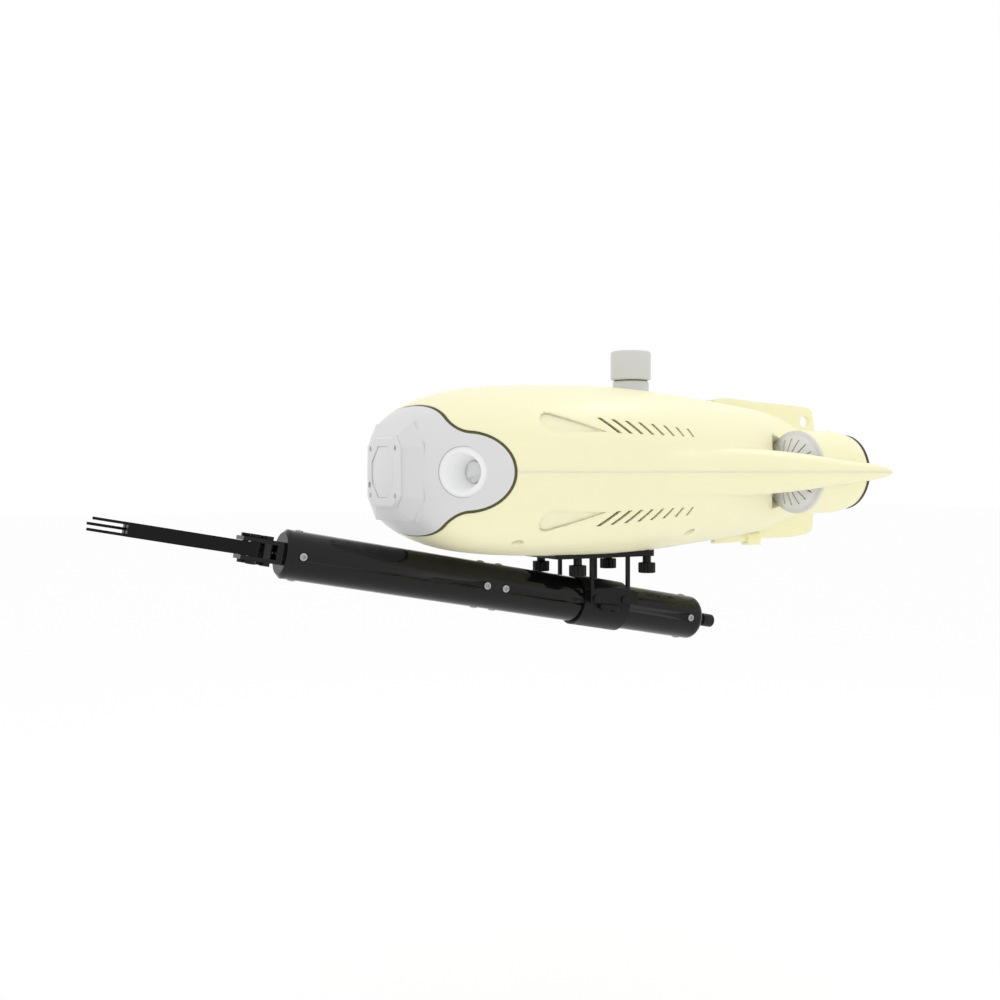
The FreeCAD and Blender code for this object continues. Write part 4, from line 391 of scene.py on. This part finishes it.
# %% Let light into the walls of the shells
MM_PER_METRE = 1000.0
WALL_GLOW = 0.35
GLOW_DEPTH = 0.003
GLOW_BY_COLOUR = (1.0, 1.0, 0.6)
shader = materials["hull_yellow"].node_tree.nodes["Principled BSDF"]
shader.inputs["Subsurface Weight"].default_value = WALL_GLOW
shader.inputs["Subsurface Radius"].default_value = GLOW_BY_COLOUR
shader.inputs["Subsurface Scale"].default_value = GLOW_DEPTH
print("light reaches", GLOW_DEPTH * MM_PER_METRE, "mm into the yellow walls")

# %% [markdown]
# # Skins of the engineering pieces
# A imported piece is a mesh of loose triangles, which shows every facet when light runs over it. A skin is
# a copy with its doubled corners merged and its light carried smoothly over soft edges, while edges
# sharper than a set angle stay crisp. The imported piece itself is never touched; its skin stands in for
# it. Moulded and milled pieces have no knife edges, so the skins of the hardware also get a narrow bevel
# that catches a thin line of light along each edge.

# %% Merge and smooth a copy of a piece
SHARP = math.radians(28.0)
FLAT = math.radians(0.4)
BEVEL_FROM = math.radians(42.0)
BEVEL_SEGMENTS = 2
BEVEL_WEIGHT = 80
CALM_WEIGHT = 100
MERGE_DISTANCE = 1e-6
BROAD_PIECES = (
    "upper_shell", "lower_shell", "face_mask", "port_thruster_guard", "starboard_thruster_guard",
)


def dress(piece, name):
    """Give a finished piece the node's finish, body, slot and place."""
    piece.data.materials.append(materials[slot_of[name]])
    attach(piece, body_of[name])
    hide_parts(name)
    return piece


def skin(name, edge_round=0.0):
    """Copy of a node with merged corners and smooth light; an edge round in mm adds a bevel that wide."""
    mesh = nodes[name].data.copy()
    mesh.name = name + "_skin"
    mesh.materials.clear()
    piece = bpy.data.objects.new(name + "_skin", mesh)
    bpy.context.scene.collection.objects.link(piece)
    mesh.normals_split_custom_set([(0.0, 0.0, 0.0)] * len(mesh.loops))
    bm = bmesh.new()
    bm.from_mesh(mesh)
    bmesh.ops.remove_doubles(bm, verts=bm.verts, dist=MERGE_DISTANCE)
    if edge_round:
        bmesh.ops.dissolve_limit(bm, angle_limit=FLAT, verts=bm.verts, edges=bm.edges)
    bm.to_mesh(mesh)
    bm.free()
    mesh.shade_smooth()
    if edge_round:
        bevel = piece.modifiers.new("eased_edges", "BEVEL")
        bevel.width = edge_round / MM_PER_METRE
        bevel.segments = BEVEL_SEGMENTS
        bevel.limit_method = "ANGLE"
        bevel.angle_limit = BEVEL_FROM
        flat_light = piece.modifiers.new("flat_light", "WEIGHTED_NORMAL")
        flat_light.weight = BEVEL_WEIGHT
    else:
        mesh.set_sharp_from_angle(angle=SHARP)
    if name in BROAD_PIECES:
        calm = piece.modifiers.new("calm_light", "WEIGHTED_NORMAL")
        calm.mode = "FACE_AREA"
        calm.weight = CALM_WEIGHT
        calm.keep_sharp = True
    return dress(piece, name)


# %% [markdown]
# # Turned, fluted and domed pieces
# Knobs and pan heads are round an axis. They could be built from cylinders and cut, but one surface of
# two parameters is cleaner: a station on a profile, and an angle round the axis. Short curves can ease
# the profile's corners first, and a small function of angle and station then presses flutes into a grip,
# or the cross into a screw's head.

# %% A profile turned round an axis
CORNER_STEPS = 5
SHORT_SIDE_SHARE = 0.45
POLE_DISTANCE = 2e-7
THIN_EDGE = 1e-7


def eased(profile, reach):
    """Profile rows (distance along the axis, radius) with each inner corner replaced by a quadratic
    curve (1-t)^2 a + 2t(1-t) corner + t^2 b. Its ends a and b lie 'reach' from the corner, or nearer
    on short sides."""
    points = np.asarray(profile, float)
    before = points[:-2] - points[1:-1]
    after = points[2:] - points[1:-1]
    cut_before = np.minimum(reach, SHORT_SIDE_SHARE * np.linalg.norm(before, axis=1))
    cut_after = np.minimum(reach, SHORT_SIDE_SHARE * np.linalg.norm(after, axis=1))
    a = points[1:-1] + before * (cut_before / np.linalg.norm(before, axis=1))[:, None]
    b = points[1:-1] + after * (cut_after / np.linalg.norm(after, axis=1))[:, None]
    t = np.linspace(0.0, 1.0, CORNER_STEPS)[None, :, None]
    bends = (1 - t) ** 2 * a[:, None] + 2 * t * (1 - t) * points[1:-1, None] + t ** 2 * b[:, None]
    return np.vstack([points[:1], bends.reshape(-1, 2), points[-1:]])


def frame_of(direction):
    """Three unit vectors: the direction and two across it."""
    d = np.asarray(direction, float) / np.linalg.norm(direction)
    side = np.array([0.0, 1.0, 0.0]) if abs(d[1]) < 0.9 else np.array([1.0, 0.0, 0.0])
    u = np.cross(side, d)
    u /= np.linalg.norm(u)
    return d, u, np.cross(d, u)


def turned(profile, start, direction, count, press):
    """Points (row, angle) of start + s*direction + r*(cos a*u + sin a*v) in mm, for profile rows (s, r)
    that press(s, r, a) has changed first."""
    d, u, v = frame_of(direction)
    angle = np.linspace(0.0, 2 * np.pi, count, endpoint=False)[None, :]
    s = np.repeat(profile[:, :1], count, axis=1)
    r = np.repeat(profile[:, 1:], count, axis=1)
    s, r = press(s, r, angle)
    ring = np.cos(angle)[..., None] * u + np.sin(angle)[..., None] * v
    return np.asarray(start, float) + s[..., None] * d + r[..., None] * ring


def piece_from_rings(label, surfaces, name, sharp=35.0):
    """One mesh from ring surfaces, each closed round its axis and at its poles; it stands in for a node."""
    points = []
    quads = []
    total = 0
    for rings in surfaces:
        rows, count = rings.shape[:2]
        index = np.arange(rows * count).reshape(rows, count) + total
        nxt = np.roll(index, -1, axis=1)
        quads.append(np.stack([index[:-1], nxt[:-1], nxt[1:], index[1:]], -1).reshape(-1, 4))
        points.append(rings.reshape(-1, 3) / MM_PER_METRE)
        total += rows * count
    mesh = bpy.data.meshes.new(label)
    mesh.from_pydata(np.vstack(points), [], np.vstack(quads))
    bm = bmesh.new()
    bm.from_mesh(mesh)
    bmesh.ops.remove_doubles(bm, verts=bm.verts, dist=POLE_DISTANCE)
    bmesh.ops.dissolve_degenerate(bm, edges=bm.edges, dist=THIN_EDGE)
    bmesh.ops.recalc_face_normals(bm, faces=bm.faces)
    bm.to_mesh(mesh)
    bm.free()
    mesh.shade_smooth()
    mesh.set_sharp_from_angle(angle=math.radians(sharp))
    piece = bpy.data.objects.new(label, mesh)
    bpy.context.scene.collection.objects.link(piece)
    return dress(piece, name)


# %% [markdown]
# # Thumb screws
# Four black thumb screws hold the bracket to the belly. Wet fingers turn them, so their moulded grips
# have soft flutes. Each keeps the place and height of its engineering piece. Grip, neck and shank are one
# profile, and the flutes are pressed into the grip's wall by a power of a cosine: the waves are smooth,
# and need no cutting.

# %% Thumb screws with fluted grips
KNOB_EASE = 0.7
KNOB_RADIUS = 6.15
KNOB_HEIGHT = 7.3
DISH_DEPTH = 0.6
DISH_RADIUS = KNOB_RADIUS - 2.4
FACE_RADIUS = KNOB_RADIUS - 1.8
NECK_RADIUS = 3.0
NECK_TOP = 11.95
THREAD_RADIUS = 2.0
FLUTES = 12
FLUTE_DEPTH = 0.75
FLUTE_POWER = 3
FLUTE_FROM = KNOB_RADIUS - 1.4
FLUTE_FADE = 1.0
POINTS_PER_FLUTE = 12


def fluted(s, r, a):
    """Radius less a flute: depth times a power of half of 1 + cos(flutes * a), on the grip's wall only."""
    wall = np.clip((r - FLUTE_FROM) / FLUTE_FADE, 0.0, 1.0) * (s < KNOB_HEIGHT)
    return s, r - FLUTE_DEPTH * wall * (0.5 + 0.5 * np.cos(FLUTES * a)) ** FLUTE_POWER


made = {}
for name in [n for n in nodes if n.endswith("_thumb_screw")]:
    low_corner, high_corner = (np.array(corner) * MM_PER_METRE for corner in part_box(name))
    centre = (low_corner + high_corner) / 2
    tall = high_corner[2] - low_corner[2]
    profile = eased([
        (DISH_DEPTH, 0.0), (DISH_DEPTH, DISH_RADIUS), (0.0, FACE_RADIUS), (0.0, KNOB_RADIUS),
        (KNOB_HEIGHT, KNOB_RADIUS), (KNOB_HEIGHT, NECK_RADIUS), (NECK_TOP, NECK_RADIUS),
        (NECK_TOP, THREAD_RADIUS), (tall, THREAD_RADIUS), (tall, 0.0),
    ], KNOB_EASE)
    foot = (centre[0], centre[1], low_corner[2])
    rings = turned(profile, foot, (0, 0, 1), FLUTES * POINTS_PER_FLUTE, fluted)
    made[name] = piece_from_rings(name + "_turned", [rings], name)
print("fluted thumb screws:", len(made))

# %% [markdown]
# # The claw's pan-head screws
# Steel screws hold the claw's two tubes at their ends, four round the axis at each station. A pan head
# has a low dome with a cross for the driver. The dome is a short profile turned round the screw's own
# axis, and the cross is two bars with sloped edges at right angles, taken off the dome's height.

# %% Pan-head screws with a cross in each head
CLAW_START = np.array([248.0, 0.0, -52.0])
CLAW_TILT = math.radians(10.31)
ALONG = np.array([math.cos(CLAW_TILT), 0.0, math.sin(CLAW_TILT)])
ACROSS = np.array([0.0, 1.0, 0.0])
UPWARD = np.array([-math.sin(CLAW_TILT), 0.0, math.cos(CLAW_TILT)])
SEAT_RADIUS = 15.4
SCREW_STATIONS = (-6.5, -138.8, -153.2, -312.0)
CROSS_HALF_WIDTH = 0.3
CROSS_HALF_LENGTH = 1.3
CROSS_DEPTH = 0.55
CROSS_SIDE_SLOPE = 0.12
CROSS_END_SLOPE = 0.2
CROSS_FROM = 0.9
CROWN_TOP = 1.2
CROWN_DROP = 0.42
CROWN_REACH = 2.2
SCREW_POINTS = 48
SHANK = [(-3.6, 0.0), (-3.6, 1.4), (0.0, 1.4)]
HEAD_WALL = [(0.0, 2.5), (0.1, 2.6), (0.45, 2.6), (0.7, 2.45)]
CROWN_RADII = np.array([1.9, 1.6, 1.4, 1.2, 1.0, 0.8, 0.6, 0.45, 0.3, 0.15, 0.0])


def soft_bar(across, along):
    """1 inside one bar of the cross and 0 outside it, with a straight slope over each edge."""
    within_width = np.clip((CROSS_HALF_WIDTH - abs(across)) / CROSS_SIDE_SLOPE + 0.5, 0, 1)
    within_length = np.clip((CROSS_HALF_LENGTH - abs(along)) / CROSS_END_SLOPE + 0.5, 0, 1)
    return within_width * within_length


def crossed(s, r, a):
    """Height less a cross: depth times the larger of two bars at right angles, on the crown only."""
    x, y = r * np.cos(a), r * np.sin(a)
    cross = np.maximum(soft_bar(x, y), soft_bar(y, x))
    return s - CROSS_DEPTH * cross * (s > CROSS_FROM), r


crown = np.column_stack([CROWN_TOP - CROWN_DROP * (CROWN_RADII / CROWN_REACH) ** 2, CROWN_RADII])
pan_head = np.vstack([SHANK, HEAD_WALL, crown])
heads = []
for station in SCREW_STATIONS:
    for turn in np.radians((0.0, 90.0, 180.0, 270.0)):
        out = math.cos(turn) * ACROSS + math.sin(turn) * UPWARD
        seat = CLAW_START + station * ALONG + SEAT_RADIUS * out
        heads.append(turned(pan_head, seat, out, SCREW_POINTS, crossed))
made["claw_tube_screws"] = piece_from_rings("claw_tube_screws_domed", heads, "claw_tube_screws", 40.0)
print("pan-head screws:", len(heads))

# %% [markdown]
# # All other pieces
# All the rest keep their engineering shapes as skins. The bracket, side frames, clamp, claw head, jaws,
# caps, connector and bezel also get a bevel of a few tenths of a millimetre, because a machined or
# moulded edge is never perfectly sharp.

# %% Make the skins and round the edges of the hardware
EDGE_ROUNDS = {
    "bracket_plate": 0.5, "port_side_frame": 0.35, "starboard_side_frame": 0.35, "clamp_saddle": 0.3,
    "clamp_strap": 0.3, "claw_head": 0.3, "port_jaw": 0.3, "starboard_jaw": 0.3, "camera_bezel": 0.25,
    "port_cap": 0.3, "claw_rear_cap": 0.3, "claw_connector": 0.3,
}
skins = {name: skin(name, EDGE_ROUNDS.get(name, 0.0)) for name in sorted(nodes) if name not in made}
print("skins:", len(skins), "with", sum(len(piece.data.polygons) for piece in skins.values()), "faces")

# %% [markdown]
# # Floor, backdrop and light
# The vehicle hangs over a plain pale sheet, in even studio light from all sides, as in a light tent. The
# sheet and the world are white to the camera, to gloss and to glass through Light Path, while the object
# gets only a plain level at which a colour looks as it was chosen. The sheet keeps part of its own
# shading, so the shadow stays on it. From below, the sheet is clear, so the belly can be looked at too.

# %% What the camera, gloss and glass see
def seen_directly(tree):
    """1 for camera, glossy and transmission rays, otherwise 0."""
    path = tree.nodes.new("ShaderNodeLightPath")
    first = math_node(tree, "MAXIMUM", path.outputs["Is Camera Ray"], path.outputs["Is Glossy Ray"])
    return math_node(tree, "MAXIMUM", first, path.outputs["Is Transmission Ray"])


def mixed(tree, share, first, second):
    """Mix of two shaders by a share."""
    mix = tree.nodes.new("ShaderNodeMixShader")
    tree.links.new(share, mix.inputs[0])
    tree.links.new(first.outputs[0], mix.inputs[1])
    tree.links.new(second.outputs[0], mix.inputs[2])
    return mix


# %% Floor
FLOOR_DROP = 0.30
SHEET_WHITE_SHARE = 0.6
SHEET_HALF = 12.0
floor_z = cad_box[0][2] - FLOOR_DROP
corners = [(x * SHEET_HALF, y * SHEET_HALF, floor_z) for x, y in ((-1, -1), (1, -1), (1, 1), (-1, 1))]
floor_mesh = bpy.data.meshes.new("floor")
floor_mesh.from_pydata(corners, [], [(0, 1, 2, 3)])
floor = bpy.data.objects.new("floor", floor_mesh)
bpy.context.scene.collection.objects.link(floor)

sheet = bpy.data.materials.new("pale_sheet")
sheet.use_nodes = True
tree = sheet.node_tree
shader = tree.nodes["Principled BSDF"]
shader.inputs["Base Color"].default_value = (0.99, 0.99, 0.99, 1.0)
shader.inputs["Roughness"].default_value = 0.9
shader.inputs["Specular IOR Level"].default_value = 0.0
white = tree.nodes.new("ShaderNodeEmission")
white.inputs["Strength"].default_value = 1.0
share = math_node(tree, "MULTIPLY", seen_directly(tree), SHEET_WHITE_SHARE)
top = mixed(tree, share, shader, white)
side = tree.nodes.new("ShaderNodeNewGeometry")
from_below = tree.nodes.new("ShaderNodeBsdfTransparent")
sheet_light = mixed(tree, side.outputs["Backfacing"], top, from_below)
tree.links.new(sheet_light.outputs[0], tree.nodes["Material Output"].inputs["Surface"])
floor_mesh.materials.append(sheet)
print("floor lies", round(FLOOR_DROP * MM_PER_METRE), "mm below the lowest piece")

# %% World
AMBIENT = 0.97
world = bpy.data.worlds.new("studio")
bpy.context.scene.world = world
world.use_nodes = True
tree = world.node_tree
even = tree.nodes["Background"]
even.inputs["Color"].default_value = (1.0, 1.0, 1.0, 1.0)
even.inputs["Strength"].default_value = AMBIENT
white = tree.nodes.new("ShaderNodeBackground")
white.inputs["Color"].default_value = (1.0, 1.0, 1.0, 1.0)
white.inputs["Strength"].default_value = 1.0
world_light = mixed(tree, seen_directly(tree), even, white)
tree.links.new(world_light.outputs[0], tree.nodes["World Output"].inputs["Surface"])
print("even light at", AMBIENT)

# %% [markdown]
# # Lamps
# The even light alone would look flat. A wide, weak lamp overhead lifts the top of the hull a little, and
# a small one high up behind the stern adds a gleam along it. Both stay weak, so no colour is washed out.

# %% Hang the lamps
def soft_lamp(name, place_at, aim, size, power):
    """Rectangular area lamp that faces a point; sizes in metres, power in watts."""
    data = bpy.data.lights.new(name, "AREA")
    data.shape = "RECTANGLE"
    data.size, data.size_y = size
    data.energy = power
    lamp = bpy.data.objects.new(name, data)
    lamp.location = place_at
    lamp.rotation_euler = (Vector(aim) - Vector(place_at)).to_track_quat("-Z", "Y").to_euler()
    bpy.context.scene.collection.objects.link(lamp)


soft_lamp("overhead", (0.3, 0.4, 1.6), (0.05, 0.0, 0.0), (1.4, 1.0), 1.2)
soft_lamp("stern_spot", (-0.757, -0.278, 1.19), (0.235, 0.01, -0.04), (0.10, 0.10), 1.9)
bpy.context.scene.view_settings.view_transform = "Standard"
